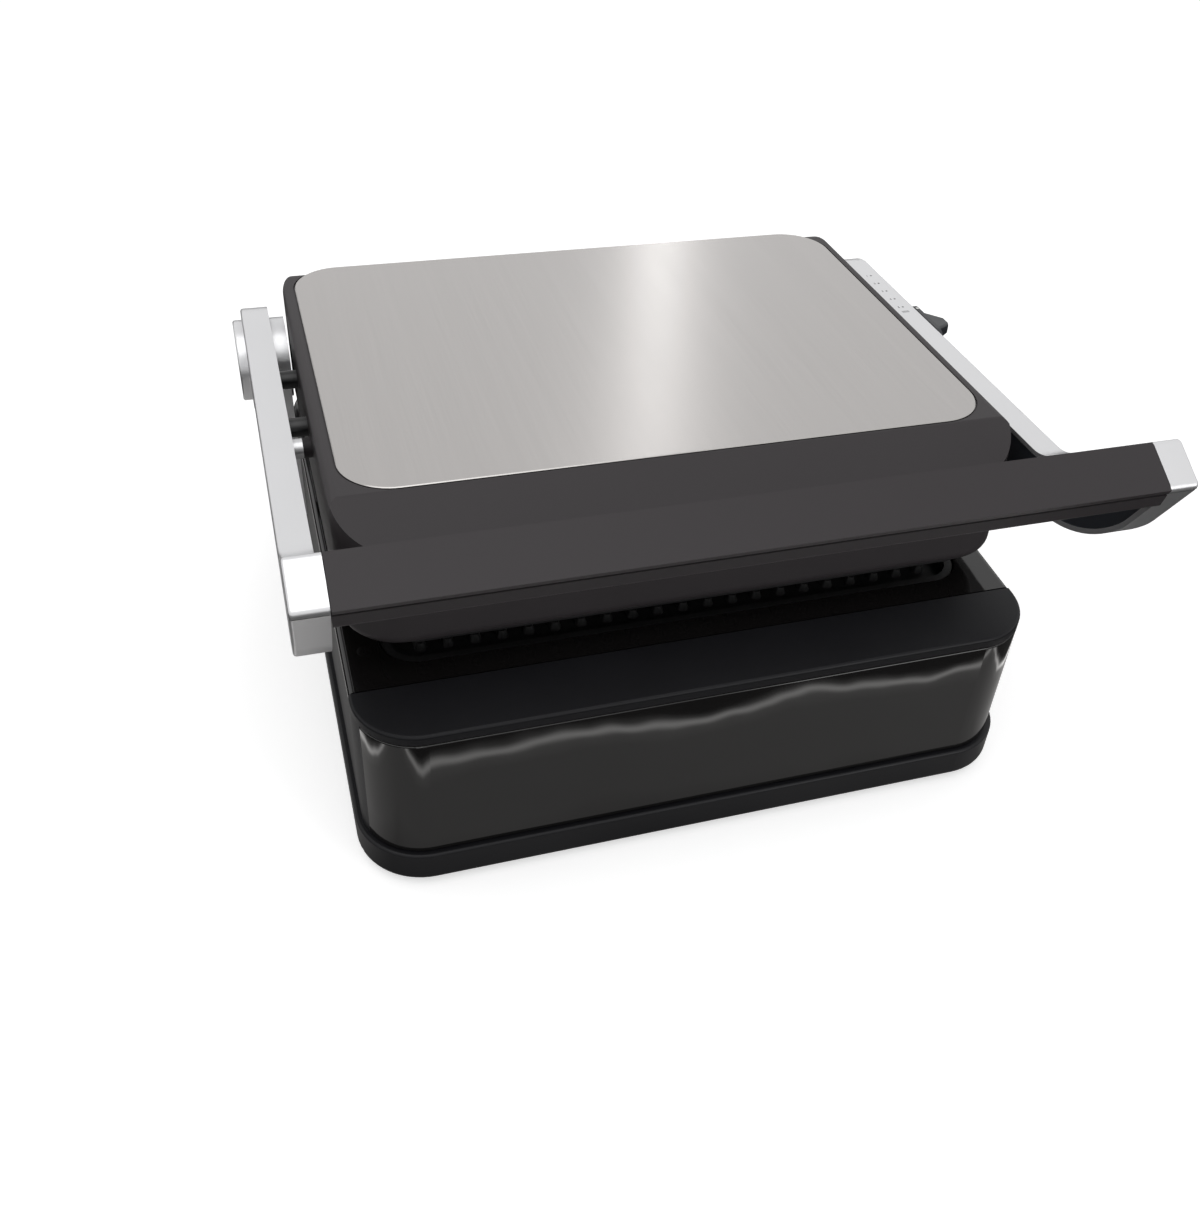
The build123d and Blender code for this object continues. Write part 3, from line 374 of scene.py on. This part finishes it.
def varied(group, base, share, amount):
    """Value plus amount (share - 1/2), as an output socket inside a group."""
    shift = add_node(group, "ShaderNodeMath", {"operation": "SUBTRACT"}, {1: 0.5})
    group.links.new(share, shift.inputs[0])
    total = add_node(group, "ShaderNodeMath", {"operation": "MULTIPLY_ADD"})
    group.links.new(shift.outputs[0], total.inputs[0])
    group.links.new(amount, total.inputs[1])
    group.links.new(base, total.inputs[2])
    return total.outputs[0]


SURFACE_OUTPUTS = (
    ("Color", "NodeSocketColor"),
    ("Roughness", "NodeSocketFloat"),
    ("Normal", "NodeSocketVector"),
)


def moulded_grain():
    """Moulded plastic: fine pebbled bump, with slow colour and gloss changes over a few centimetres."""
    group, entry, leave = group_with(
        "moulded_grain",
        (
            ("Color", "NodeSocketColor", (0.05, 0.05, 0.05, 1.0)),
            ("Roughness", "NodeSocketFloat", 0.5),
            ("Grain Scale", "NodeSocketFloat", 1400.0),
            ("Grain Depth", "NodeSocketFloat", 0.00004),
            ("Mottle", "NodeSocketFloat", 0.12),
            ("Gloss Change", "NodeSocketFloat", 0.10),
        ),
        SURFACE_OUTPUTS,
    )
    place = add_node(group, "ShaderNodeTexCoord")
    grain = add_node(group, "ShaderNodeTexNoise", None, {"Detail": 2.0, "Roughness": 0.6})
    group.links.new(place.outputs["Object"], grain.inputs["Vector"])
    group.links.new(entry.outputs["Grain Scale"], grain.inputs["Scale"])
    slow = add_node(group, "ShaderNodeTexNoise", None, {"Scale": 22.0, "Detail": 4.0, "Roughness": 0.6})
    group.links.new(place.outputs["Object"], slow.inputs["Vector"])
    bump = add_node(group, "ShaderNodeBump", None, {"Strength": 1.0})
    group.links.new(grain.outputs["Fac"], bump.inputs["Height"])
    group.links.new(entry.outputs["Grain Depth"], bump.inputs["Distance"])
    color = tinted(group, entry.outputs["Color"], slow.outputs["Fac"], entry.outputs["Mottle"])
    rough = varied(group, entry.outputs["Roughness"], slow.outputs["Fac"], entry.outputs["Gloss Change"])
    group.links.new(color, leave.inputs["Color"])
    group.links.new(rough, leave.inputs["Roughness"])
    group.links.new(bump.outputs["Normal"], leave.inputs["Normal"])
    return group


def brushed_lines():
    """Brushed metal: noise drawn out along Y, so fine lines run front to back in bump, colour and gloss."""
    group, entry, leave = group_with(
        "brushed_lines",
        (
            ("Color", "NodeSocketColor", (0.4, 0.4, 0.4, 1.0)),
            ("Roughness", "NodeSocketFloat", 0.3),
            ("Line Scale", "NodeSocketFloat", 1500.0),
            ("Line Depth", "NodeSocketFloat", 0.00001),
            ("Streak", "NodeSocketFloat", 0.15),
            ("Gloss Change", "NodeSocketFloat", 0.12),
        ),
        SURFACE_OUTPUTS,
    )
    place = add_node(group, "ShaderNodeTexCoord")
    draw = add_node(group, "ShaderNodeMapping", None, {"Scale": (1.0, 0.012, 0.012)})
    group.links.new(place.outputs["Object"], draw.inputs["Vector"])
    fine = add_node(group, "ShaderNodeTexNoise", None, {"Detail": 3.0, "Roughness": 0.7})
    group.links.new(draw.outputs["Vector"], fine.inputs["Vector"])
    group.links.new(entry.outputs["Line Scale"], fine.inputs["Scale"])
    broad = add_node(group, "ShaderNodeTexNoise", None, {"Scale": 160.0, "Detail": 5.0, "Roughness": 0.75})
    group.links.new(draw.outputs["Vector"], broad.inputs["Vector"])
    bump = add_node(group, "ShaderNodeBump", None, {"Strength": 1.0})
    group.links.new(fine.outputs["Fac"], bump.inputs["Height"])
    group.links.new(entry.outputs["Line Depth"], bump.inputs["Distance"])
    first = tinted(group, entry.outputs["Color"], fine.outputs["Fac"], entry.outputs["Streak"])
    color = tinted(group, first, broad.outputs["Fac"], entry.outputs["Streak"])
    rough = varied(group, entry.outputs["Roughness"], broad.outputs["Fac"], entry.outputs["Gloss Change"])
    group.links.new(color, leave.inputs["Color"])
    group.links.new(rough, leave.inputs["Roughness"])
    group.links.new(bump.outputs["Normal"], leave.inputs["Normal"])
    return group


def gloss_ripple():
    """Gloss moulding: slow ripples in the normal and faint wiped smears in the gloss."""
    group, entry, leave = group_with(
        "gloss_ripple",
        (
            ("Color", "NodeSocketColor", (0.01, 0.01, 0.01, 1.0)),
            ("Roughness", "NodeSocketFloat", 0.05),
            ("Ripple Scale", "NodeSocketFloat", 18.0),
            ("Ripple Depth", "NodeSocketFloat", 0.0004),
            ("Smear", "NodeSocketFloat", 0.10),
            ("Mottle", "NodeSocketFloat", 0.25),
        ),
        SURFACE_OUTPUTS,
    )
    place = add_node(group, "ShaderNodeTexCoord")
    slow = {"Detail": 1.0, "Roughness": 0.4, "Distortion": 0.5}
    ripple = add_node(group, "ShaderNodeTexNoise", None, slow)
    group.links.new(place.outputs["Object"], ripple.inputs["Vector"])
    group.links.new(entry.outputs["Ripple Scale"], ripple.inputs["Scale"])
    bump = add_node(group, "ShaderNodeBump", None, {"Strength": 1.0})
    group.links.new(ripple.outputs["Fac"], bump.inputs["Height"])
    group.links.new(entry.outputs["Ripple Depth"], bump.inputs["Distance"])
    slant = {"Scale": (0.3, 1.0, 1.0), "Rotation": (0.0, 0.35, 0.0)}
    wipe = add_node(group, "ShaderNodeMapping", None, slant)
    group.links.new(place.outputs["Object"], wipe.inputs["Vector"])
    smear = add_node(group, "ShaderNodeTexNoise", None, {"Scale": 60.0, "Detail": 6.0, "Roughness": 0.7})
    group.links.new(wipe.outputs["Vector"], smear.inputs["Vector"])
    color = tinted(group, entry.outputs["Color"], smear.outputs["Fac"], entry.outputs["Mottle"])
    rough = varied(group, entry.outputs["Roughness"], smear.outputs["Fac"], entry.outputs["Smear"])
    group.links.new(color, leave.inputs["Color"])
    group.links.new(rough, leave.inputs["Roughness"])
    group.links.new(bump.outputs["Normal"], leave.inputs["Normal"])
    return group


def floor_in_gloss():
    """Painted reflection that the floor shows to glossy rays: darker near the base as painted shade, a bright
    wavy line as a painted highlight, and dark beyond it.
    """
    group, entry, leave = group_with("floor_in_gloss", (), (("Color", "NodeSocketColor"),))
    place = add_node(group, "ShaderNodeTexCoord")
    axes = add_node(group, "ShaderNodeSeparateXYZ")
    group.links.new(place.outputs["Object"], axes.inputs[0])

    def math_node(operation, first, second):
        node = add_node(group, "ShaderNodeMath", {"operation": operation})
        for index, value in enumerate((first, second)):
            if isinstance(value, float):
                node.inputs[index].default_value = value
            elif value is not None:
                group.links.new(value, node.inputs[index])
        return node.outputs[0]

    side = math_node("SUBTRACT", math_node("ABSOLUTE", axes.outputs["X"], None), BASE_HALF_X)
    front = math_node("SUBTRACT", math_node("ABSOLUTE", axes.outputs["Y"], None), BASE_HALF_Y)
    away = math_node("MAXIMUM", side, front)
    swell = {"Scale": REFLECTION_WAVE_SCALE, "Detail": 3.0, "Roughness": 0.5}
    waves = add_node(group, "ShaderNodeTexNoise", None, swell)
    group.links.new(place.outputs["Object"], waves.inputs["Vector"])
    wobble = math_node("MULTIPLY", math_node("SUBTRACT", waves.outputs["Fac"], 0.5), REFLECTION_WAVE_DEPTH)
    band = math_node("ADD", away, wobble)
    # painted reflection and painted shade: brightness by distance from the base, wobbled by noise
    ramp = add_node(group, "ShaderNodeValToRGB")
    group.links.new(math_node("MULTIPLY", band, REFLECTION_RAMP), ramp.inputs["Fac"])
    elements = ramp.color_ramp.elements
    while len(elements) < len(PAINTED_REFLECTION_STOPS):
        elements.new(0.5)
    green, blue = REFLECTION_TINT
    for element, (position, value) in zip(elements, PAINTED_REFLECTION_STOPS):
        element.position = position
        element.color = (value, value * green, value * blue, 1.0)
    group.links.new(ramp.outputs["Color"], leave.inputs["Color"])
    return group


def finish_material(name, group, color, roughness, values=None, shader_values=None):
    """A Principled material whose colour, roughness and normal come from a shared effect group."""
    material = bpy.data.materials.new(name)
    material.use_nodes = True
    tree = material.node_tree
    shader = tree.nodes["Principled BSDF"]
    effect = tree.nodes.new("ShaderNodeGroup")
    effect.node_tree = group
    effect.inputs["Color"].default_value = (*color, 1.0)
    effect.inputs["Roughness"].default_value = roughness
    for key, value in (values or {}).items():
        effect.inputs[key].default_value = value
    tree.links.new(effect.outputs["Color"], shader.inputs["Base Color"])
    tree.links.new(effect.outputs["Roughness"], shader.inputs["Roughness"])
    tree.links.new(effect.outputs["Normal"], shader.inputs["Normal"])
    for key, value in (shader_values or {}).items():
        shader.inputs[key].default_value = value
    material.diffuse_color = (*color, 1.0)
    return material


def dress(nodes, material):
    """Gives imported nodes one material."""
    for name in nodes:
        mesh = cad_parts[name].data
        mesh.materials.clear()
        mesh.materials.append(material)


def effect(name):
    """A shared effect group, made the first time it is asked for."""
    makers = {"moulded_grain": moulded_grain, "brushed_lines": brushed_lines, "gloss_ripple": gloss_ripple}
    return bpy.data.node_groups.get(name) or makers[name]()


# Operators, one for each group of like pieces


class GRILL_OT_lid_shells(bpy.types.Operator):
    """Charcoal moulding for the lid's shells and the handle"""

    bl_idname = "grill.lid_shells"
    bl_label = "Lid Shells and Handle"

    def execute(self, context):
        finish = context.scene.grill_finish
        shell = finish_material(
            "charcoal_moulding", effect("moulded_grain"), finish.charcoal, 0.50,
            {"Grain Scale": 1500.0, "Grain Depth": 0.00003, "Mottle": 0.10, "Gloss Change": 0.10},
            {"Specular IOR Level": 0.25},
        )
        dress(LID_SHELL_NODES, shell)
        handle = finish_material(
            "charcoal_handle", effect("moulded_grain"), finish.charcoal, 0.44,
            {"Grain Scale": 1700.0, "Grain Depth": 0.00002, "Mottle": 0.08, "Gloss Change": 0.12},
            {"Specular IOR Level": 0.22},
        )
        dress(HANDLE_NODES, handle)
        return {"FINISHED"}


class GRILL_OT_steel_plate(bpy.types.Operator):
    """Steel brushed front to back for the lid's plate"""

    bl_idname = "grill.steel_plate"
    bl_label = "Brushed Steel Plate"

    def execute(self, context):
        finish = context.scene.grill_finish
        steel = finish_material(
            "brushed_steel", effect("brushed_lines"), finish.steel, 0.25,
            {"Line Scale": 1600.0, "Line Depth": 0.000006, "Streak": 0.07, "Gloss Change": 0.06},
            {"Metallic": 1.0},
        )
        dress(("lid_steel_plate",), steel)
        return {"FINISHED"}


class GRILL_OT_silver_frame(bpy.types.Operator):
    """Satin silver for the arms, caps and hinge drums, and dark covers inside the arms"""

    bl_idname = "grill.silver_frame"
    bl_label = "Silver Arms and Covers"

    def execute(self, context):
        finish = context.scene.grill_finish
        silver = finish_material(
            "satin_silver", effect("moulded_grain"), finish.silver, 0.34,
            {"Grain Scale": 2600.0, "Grain Depth": 0.00001, "Mottle": 0.05, "Gloss Change": 0.10},
            {"Metallic": 0.85},
        )
        dress(SILVER_NODES, silver)
        cover = finish_material(
            "arm_cover_black", effect("moulded_grain"), finish.cover, 0.40,
            {"Grain Scale": 1200.0, "Grain Depth": 0.00003, "Mottle": 0.15, "Gloss Change": 0.12},
        )
        dress(ARM_COVER_NODES, cover)
        return {"FINISHED"}


class GRILL_OT_base_shells(bpy.types.Operator):
    """Matte black for the base's walls, rim, strip and tray, and rubber for its feet"""

    bl_idname = "grill.base_shells"
    bl_label = "Base Shells"

    def execute(self, context):
        finish = context.scene.grill_finish
        wall = finish_material(
            "base_wall_black", effect("moulded_grain"), finish.black, 0.46,
            {"Grain Scale": 1000.0, "Grain Depth": 0.00005, "Mottle": 0.20, "Gloss Change": 0.12},
            {"Specular IOR Level": 0.25},
        )
        dress(BASE_SHELL_NODES, wall)
        strip = finish_material(
            "front_strip_black", effect("moulded_grain"), finish.black, 0.40,
            {"Grain Scale": 1300.0, "Grain Depth": 0.00003, "Mottle": 0.16, "Gloss Change": 0.14},
            {"Specular IOR Level": 0.2},
        )
        dress(("front_strip",), strip)
        rim = finish_material(
            "rim_black", effect("moulded_grain"), finish.black, 0.36,
            {"Grain Scale": 900.0, "Grain Depth": 0.00004, "Mottle": 0.20, "Gloss Change": 0.16},
            {"Specular IOR Level": 0.22},
        )
        dress(RIM_NODES, rim)
        rubber = finish_material(
            "foot_rubber", effect("moulded_grain"), RUBBER_GREY, 0.78,
            {"Grain Scale": 700.0, "Grain Depth": 0.00008, "Mottle": 0.30, "Gloss Change": 0.10},
        )
        dress(RUBBER_NODES, rubber)
        slider = finish_material(
            "slider_black", effect("moulded_grain"), finish.cover, 0.42,
            {"Grain Scale": 1500.0, "Grain Depth": 0.00003, "Mottle": 0.15, "Gloss Change": 0.12},
        )
        dress(("height_slider",), slider)
        return {"FINISHED"}


class GRILL_OT_gloss_panel(bpy.types.Operator):
    """Deep gloss for the front panel and the frame round the plate"""

    bl_idname = "grill.gloss_panel"
    bl_label = "Gloss Panel"

    def execute(self, context):
        finish = context.scene.grill_finish
        panel = finish_material(
            "gloss_panel", effect("gloss_ripple"), finish.gloss, 0.05,
            {"Ripple Scale": 16.0, "Ripple Depth": 0.0004, "Smear": 0.05},
            {"Specular IOR Level": 0.5},
        )
        dress(GLOSS_NODES, panel)
        return {"FINISHED"}


class GRILL_OT_grill_plates(bpy.types.Operator):
    """Dark speckled non-stick coat for both ribbed plates"""

    bl_idname = "grill.grill_plates"
    bl_label = "Grill Plates"

    def execute(self, context):
        finish = context.scene.grill_finish
        coat = finish_material(
            "nonstick_coat", effect("moulded_grain"), finish.coating, 0.36,
            {"Grain Scale": 520.0, "Grain Depth": 0.00006, "Mottle": 0.45, "Gloss Change": 0.18},
            {"Specular IOR Level": 0.4},
        )
        dress(PLATE_NODES, coat)
        return {"FINISHED"}


class GRILL_OT_inner_works(bpy.types.Operator):
    """Metals and boards for the pins, screws, tubes, pans and electronics"""

    bl_idname = "grill.inner_works"
    bl_label = "Inner Works"

    def execute(self, context):
        lines = effect("brushed_lines")
        pin = finish_material(
            "pin_steel", lines, PIN_STEEL, 0.34,
            {"Line Scale": 900.0, "Streak": 0.2}, {"Metallic": 1.0},
        )
        dress(PIN_NODES, pin)
        sheet = finish_material(
            "sheet_steel", lines, SHEET_STEEL, 0.30,
            {"Line Scale": 500.0, "Streak": 0.25}, {"Metallic": 1.0},
        )
        dress(SHEET_NODES, sheet)
        tube = finish_material(
            "oxidised_tube", effect("moulded_grain"), TUBE_BROWN, 0.46,
            {"Grain Scale": 600.0, "Grain Depth": 0.00004, "Mottle": 0.6}, {"Metallic": 0.9},
        )
        dress(TUBE_NODES, tube)
        black_pin = finish_material(
            "black_pin", effect("moulded_grain"), PIN_BLACK, 0.35,
            {"Grain Scale": 1500.0, "Grain Depth": 0.00002, "Mottle": 0.2},
        )
        dress(BLACK_PIN_NODES, black_pin)
        board = finish_material(
            "board_green", effect("moulded_grain"), BOARD_GREEN, 0.40,
            {"Grain Scale": 260.0, "Grain Depth": 0.00003, "Mottle": 0.5},
        )
        dress(BOARD_NODES, board)
        return {"FINISHED"}


class GRILL_OT_height_scale(bpy.types.Operator):
    """Printed dots, strokes and numbers of the height scale on the right arm's top"""

    bl_idname = "grill.height_scale"
    bl_label = "Height Scale"

    def execute(self, context):
        marks = context.scene.grill_marks
        print_and_highlight_paint = finish_material(
            "scale_ink", effect("moulded_grain"), SCALE_INK, 0.55,
            {"Grain Scale": 3000.0, "Grain Depth": 0.000004, "Mottle": 0.3},
        )
        arm_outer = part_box("right_arm")[1].x
        middle_x = (SCALE_INNER_X + arm_outer) / 2 - SCALE_SHIFT
        dots, dot_faces = disc(marks.dot_radius, marks.print_height, DOT_SIDES)
        places = marks.first_dot + marks.dot_pitch * np.arange(DOT_COUNT)

        def on_arm(points, x, along):
            """Flat points put on the arm's top: u along X, v back along the arm, w up from its face."""
            return arm_point(x + points[..., 0], along - points[..., 1], ARM_TOP - PRINT_SINK + points[..., 2])

        parts = [(on_arm(dots, middle_x, s), dot_faces) for s in places]
        stroke, stroke_faces = slab(*STROKE_HALF, marks.print_height)
        for step in STROKE_PLACES:
            parts.append((on_arm(stroke, middle_x - STROKE_SHIFT, places[-1] + step), stroke_faces))
        points, faces = joined(parts)
        merged(mesh_object("height_scale_marks", points, faces, print_and_highlight_paint, "arm_frame"))

        number_points, number_faces, start = [], [], 0
        for k, s in enumerate(places):
            curve = bpy.data.curves.new("number", "FONT")
            curve.body = str(k + 1)
            curve.size = marks.number_size
            curve.extrude = marks.print_height / 2
            curve.resolution_u = NUMBER_STEPS
            curve.align_x = "CENTER"
            curve.align_y = "CENTER"
            text = bpy.data.objects.new("number", curve)
            context.scene.collection.objects.link(text)
            context.view_layer.update()
            mesh = bpy.data.meshes.new_from_object(text)
            flat = np.empty(len(mesh.vertices) * 3)
            mesh.vertices.foreach_get("co", flat)
            flat = flat.reshape(-1, 3) + (0.0, 0.0, marks.print_height / 2)
            number_points.append(on_arm(flat, middle_x - NUMBER_SHIFT, s))
            number_faces.extend([i + start for i in polygon.vertices] for polygon in mesh.polygons)
            start += len(flat)
            bpy.data.objects.remove(text)
            bpy.data.curves.remove(curve)
            bpy.data.meshes.remove(mesh)
        points = np.concatenate(number_points)
        merged(mesh_object("height_scale_numbers", points, number_faces, print_and_highlight_paint, "arm_frame"))
        return {"FINISHED"}


class GRILL_OT_slider_painted_highlight(bpy.types.Operator):
    """Pale stroke on the top edge of the height slider, level with its dot of the scale: a painted highlight
    """

    bl_idname = "grill.slider_mark"
    bl_label = "Slider Mark"

    def execute(self, context):
        marks = context.scene.grill_marks
        # painted highlight: pale stroke where the slider's top edge catches the light
        print_and_highlight_paint = finish_material(
            "slider_highlight_paint", effect("moulded_grain"), PAINTED_HIGHLIGHT_COLOR, 0.5,
            {"Grain Scale": 3000.0, "Grain Depth": 0.000004, "Mottle": 0.1},
        )
        stroke, faces = slab(*HIGHLIGHT_HALF, marks.print_height)
        x, along, top = HIGHLIGHT_PLACE
        points = arm_point(x + stroke[..., 0], along - stroke[..., 1], top + stroke[..., 2])
        merged(mesh_object("slider_mark", points, faces, print_and_highlight_paint, "height_slider"))
        return {"FINISHED"}


class GRILL_OT_screw_faces(bpy.types.Operator):
    """Domed faces with cross recesses on the handle's, the base's and the lid's screws"""

    bl_idname = "grill.screw_faces"
    bl_label = "Screw Faces"

    def execute(self, context):
        marks = context.scene.grill_marks
        metal = finish_material(
            "screw_face_steel", effect("brushed_lines"), SCREW_STEEL, 0.32,
            {"Line Scale": 700.0, "Streak": 0.2}, {"Metallic": 1.0},
        )
        face, faces = screw_face(HEAD_RADIUS * MM, marks.recess_radius, marks.dome_height)
        handle_centre = arm_point(*(value * MM for value in HANDLE_SCREW))
        cosine, sine = math.cos(PITCH), math.sin(PITCH)

        def on_side(centre, side):
            """A screw face on an upright wall that looks to one side."""
            return placed(face, centre, (0.0, side, 0.0), (0.0, 0.0, 1.0), (side, 0.0, 0.0)), faces

        def underneath(centre, back, down):
            """A screw face that looks down, in a plane given by its backward and downward directions."""
            return placed(face, centre, (1.0, 0.0, 0.0), back, down), faces

        handle, base, lid = [], [], []
        for side in (-1.0, 1.0):
            handle.append(on_side(handle_centre * (side, 1.0, 1.0), side))
            for y, z in BRACKET_SCREWS:
                base.append(on_side((BRACKET_SCREW_X * side * MM, y * MM, z * MM), side))
            for y in BASE_SCREW_ROWS:
                centre = (BASE_SCREW_X * side * MM, y * MM, BASE_SCREW_Z * MM)
                base.append(underneath(centre, (0.0, -1.0, 0.0), (0.0, 0.0, -1.0)))
            for y in LID_SCREW_ROWS:
                centre = (
                    LID_SCREW_X * side * MM,
                    (cosine * y + sine * LID_SCREW_HEIGHT) * MM,
                    (LID_TOP_Z - sine * y + cosine * LID_SCREW_HEIGHT) * MM,
                )
                lid.append(underneath(centre, (0.0, -cosine, sine), (0.0, -sine, -cosine)))
        for name, parts, body in (
            ("handle_screw_faces", handle, "arm_frame"),
            ("base_screw_faces", base, "base"),
            ("lid_screw_faces", lid, "lid"),
        ):
            points, all_faces = joined(parts)
            merged(mesh_object(name, points, all_faces, metal, body))
        return {"FINISHED"}


class GRILL_OT_stage(bpy.types.Operator):
    """White floor with a painted reflection for gloss parts, soft lamps, plain surroundings and the camera"""

    bl_idname = "grill.stage"
    bl_label = "Stage and Camera"

    def execute(self, context):
        stage = context.scene.grill_stage
        self.floor(stage)
        self.surroundings(context.scene, stage)
        self.lamp("key_lamp", *KEY_LAMP, stage.key_power)
        self.lamp("band_lamp", *BAND_LAMP, stage.band_power)
        self.lamp("front_lamp", *FRONT_LAMP, stage.key_power * FRONT_SHARE)
        self.camera(context.scene)
        return {"FINISHED"}

    def floor(self, stage):
        """Flat floor under the feet; the camera sees it as white, and it keeps the shadow. Glossy rays see a
        painted reflection glowing from it.
        """
        material = bpy.data.materials.new("floor_white")
        material.use_nodes = True
        tree = material.node_tree
        tree.nodes.clear()
        out = tree.nodes.new("ShaderNodeOutputMaterial")
        path = tree.nodes.new("ShaderNodeLightPath")
        seen = add_node(tree, "ShaderNodeBsdfDiffuse", None, {"Color": (0.80, 0.80, 0.80, 1.0)})
        level = add_node(tree, "ShaderNodeEmission", None, {"Strength": stage.floor_glow})
        white = tree.nodes.new("ShaderNodeAddShader")
        tree.links.new(seen.outputs[0], white.inputs[0])
        tree.links.new(level.outputs[0], white.inputs[1])
        bounce = add_node(tree, "ShaderNodeBsdfDiffuse", None, {"Color": (0.45, 0.45, 0.45, 1.0)})
        # painted reflection: for glossy rays the floor glows with a painted pattern, so gloss parts mirror a
        # bright wavy line
        painted_reflection_glow = add_node(tree, "ShaderNodeEmission", None, {"Strength": 1.0})
        painted_reflection_group = tree.nodes.new("ShaderNodeGroup")
        painted_reflection_group.node_tree = floor_in_gloss()
        tree.links.new(painted_reflection_group.outputs["Color"], painted_reflection_glow.inputs["Color"])
        unseen = tree.nodes.new("ShaderNodeMixShader")
        tree.links.new(path.outputs["Is Glossy Ray"], unseen.inputs[0])
        tree.links.new(bounce.outputs[0], unseen.inputs[1])
        tree.links.new(painted_reflection_glow.outputs[0], unseen.inputs[2])
        both = tree.nodes.new("ShaderNodeMixShader")
        tree.links.new(path.outputs["Is Camera Ray"], both.inputs[0])
        tree.links.new(unseen.outputs[0], both.inputs[1])
        tree.links.new(white.outputs[0], both.inputs[2])
        tree.links.new(both.outputs[0], out.inputs["Surface"])
        mesh = bpy.data.meshes.new("floor")
        corners = [(x * FLOOR_HALF, y * FLOOR_HALF, 0) for x, y in ((-1, -1), (1, -1), (1, 1), (-1, 1))]
        mesh.from_pydata(corners, [], [(0, 1, 2, 3)])
        mesh.materials.append(material)
        floor = bpy.data.objects.new("floor", mesh)
        bpy.context.scene.collection.objects.link(floor)

    def surroundings(self, scene, stage):
        """White world for camera, glossy and transmission rays, and a dimmer fill for the rest."""
        world = bpy.data.worlds.new("white_room")
        scene.world = world
        world.use_nodes = True
        tree = world.node_tree
        tree.nodes.clear()
        out = tree.nodes.new("ShaderNodeOutputWorld")
        white = add_node(tree, "ShaderNodeBackground", None, {"Color": WHITE, "Strength": 1.0})
        fill = add_node(tree, "ShaderNodeBackground", None, {"Color": WHITE, "Strength": stage.fill_strength})
        path = tree.nodes.new("ShaderNodeLightPath")
        first = add_node(tree, "ShaderNodeMath", {"operation": "MAXIMUM"})
        second = add_node(tree, "ShaderNodeMath", {"operation": "MAXIMUM"})
        tree.links.new(path.outputs["Is Camera Ray"], first.inputs[0])
        tree.links.new(path.outputs["Is Glossy Ray"], first.inputs[1])
        tree.links.new(first.outputs[0], second.inputs[0])
        tree.links.new(path.outputs["Is Transmission Ray"], second.inputs[1])
        mix = tree.nodes.new("ShaderNodeMixShader")
        tree.links.new(second.outputs[0], mix.inputs[0])
        tree.links.new(fill.outputs[0], mix.inputs[1])
        tree.links.new(white.outputs[0], mix.inputs[2])
        tree.links.new(mix.outputs[0], out.inputs["Surface"])

    def lamp(self, name, place, target, size, power):
        """Rectangular lamp at a place, turned to a target."""
        light = bpy.data.lights.new(name, "AREA")
        light.shape = "RECTANGLE"
        light.size, light.size_y = size
        light.energy = power
        lamp = bpy.data.objects.new(name, light)
        lamp.location = place
        lamp.rotation_euler = (Vector(target) - Vector(place)).to_track_quat("-Z", "Y").to_euler()
        bpy.context.scene.collection.objects.link(lamp)

    def camera(self, scene):
        """Camera fitted to the straight edges of the photograph; its frame is 1200 by 1212."""
        right, down, ahead = Vector(CAMERA_RIGHT), Vector(CAMERA_DOWN), Vector(CAMERA_AHEAD)
        data = bpy.data.cameras.new("view_camera")
        data.sensor_fit = "VERTICAL"
        data.sensor_height = SENSOR
        data.lens = SENSOR * FOCAL_PIXELS / FRAME_PIXELS
        data.shift_x = SHIFT_PIXELS[0] / FRAME_PIXELS
        data.shift_y = SHIFT_PIXELS[1] / FRAME_PIXELS
        data.clip_start = NEAREST
        camera = bpy.data.objects.new("view_camera", data)
        turn = Matrix((right, -down, -ahead)).transposed().to_4x4()
        camera.matrix_world = Matrix.Translation(CAMERA_PLACE) @ turn
        scene.collection.objects.link(camera)
        scene.camera = camera
        scene.view_settings.view_transform = "Standard"


class GRILL_PT_looks(bpy.types.Panel):
    """Lists the grill's finishes and pieces"""

    bl_idname = "GRILL_PT_looks"
    bl_label = "Contact Grill"
    bl_space_type = "VIEW_3D"
    bl_region_type = "UI"
    bl_category = "Grill"

    def draw(self, context):
        layout = self.layout
        for settings in (context.scene.grill_finish, context.scene.grill_marks, context.scene.grill_stage):
            box = layout.box()
            for key in settings.__annotations__:
                box.prop(settings, key)
        for operator in OPERATORS:
            layout.operator(operator.bl_idname)


SETTINGS = (
    ("grill_finish", GrillFinishSettings),
    ("grill_marks", GrillMarkSettings),
    ("grill_stage", GrillStageSettings),
)
OPERATORS = (
    GRILL_OT_lid_shells,
    GRILL_OT_steel_plate,
    GRILL_OT_silver_frame,
    GRILL_OT_base_shells,
    GRILL_OT_gloss_panel,
    GRILL_OT_grill_plates,
    GRILL_OT_inner_works,
    GRILL_OT_height_scale,
    GRILL_OT_slider_painted_highlight,
    GRILL_OT_screw_faces,
    GRILL_OT_stage,
)


def register():
    for name, settings in SETTINGS:
        bpy.utils.register_class(settings)
        setattr(bpy.types.Scene, name, bpy.props.PointerProperty(type=settings))
    for cls in (*OPERATORS, GRILL_PT_looks):
        bpy.utils.register_class(cls)


def unregister():
    for cls in reversed((*OPERATORS, GRILL_PT_looks)):
        bpy.utils.unregister_class(cls)
    for name, settings in reversed(SETTINGS):
        delattr(bpy.types.Scene, name)
        bpy.utils.unregister_class(settings)


def main():
    """Makes the looks in order."""
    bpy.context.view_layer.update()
    register()
    bpy.ops.grill.lid_shells()
    bpy.ops.grill.steel_plate()
    bpy.ops.grill.silver_frame()
    bpy.ops.grill.base_shells()
    bpy.ops.grill.gloss_panel()
    bpy.ops.grill.grill_plates()
    bpy.ops.grill.inner_works()
    bpy.ops.grill.height_scale()
    bpy.ops.grill.slider_mark()
    bpy.ops.grill.screw_faces()
    bpy.ops.grill.stage()


if __name__ == "__main__":
    main()
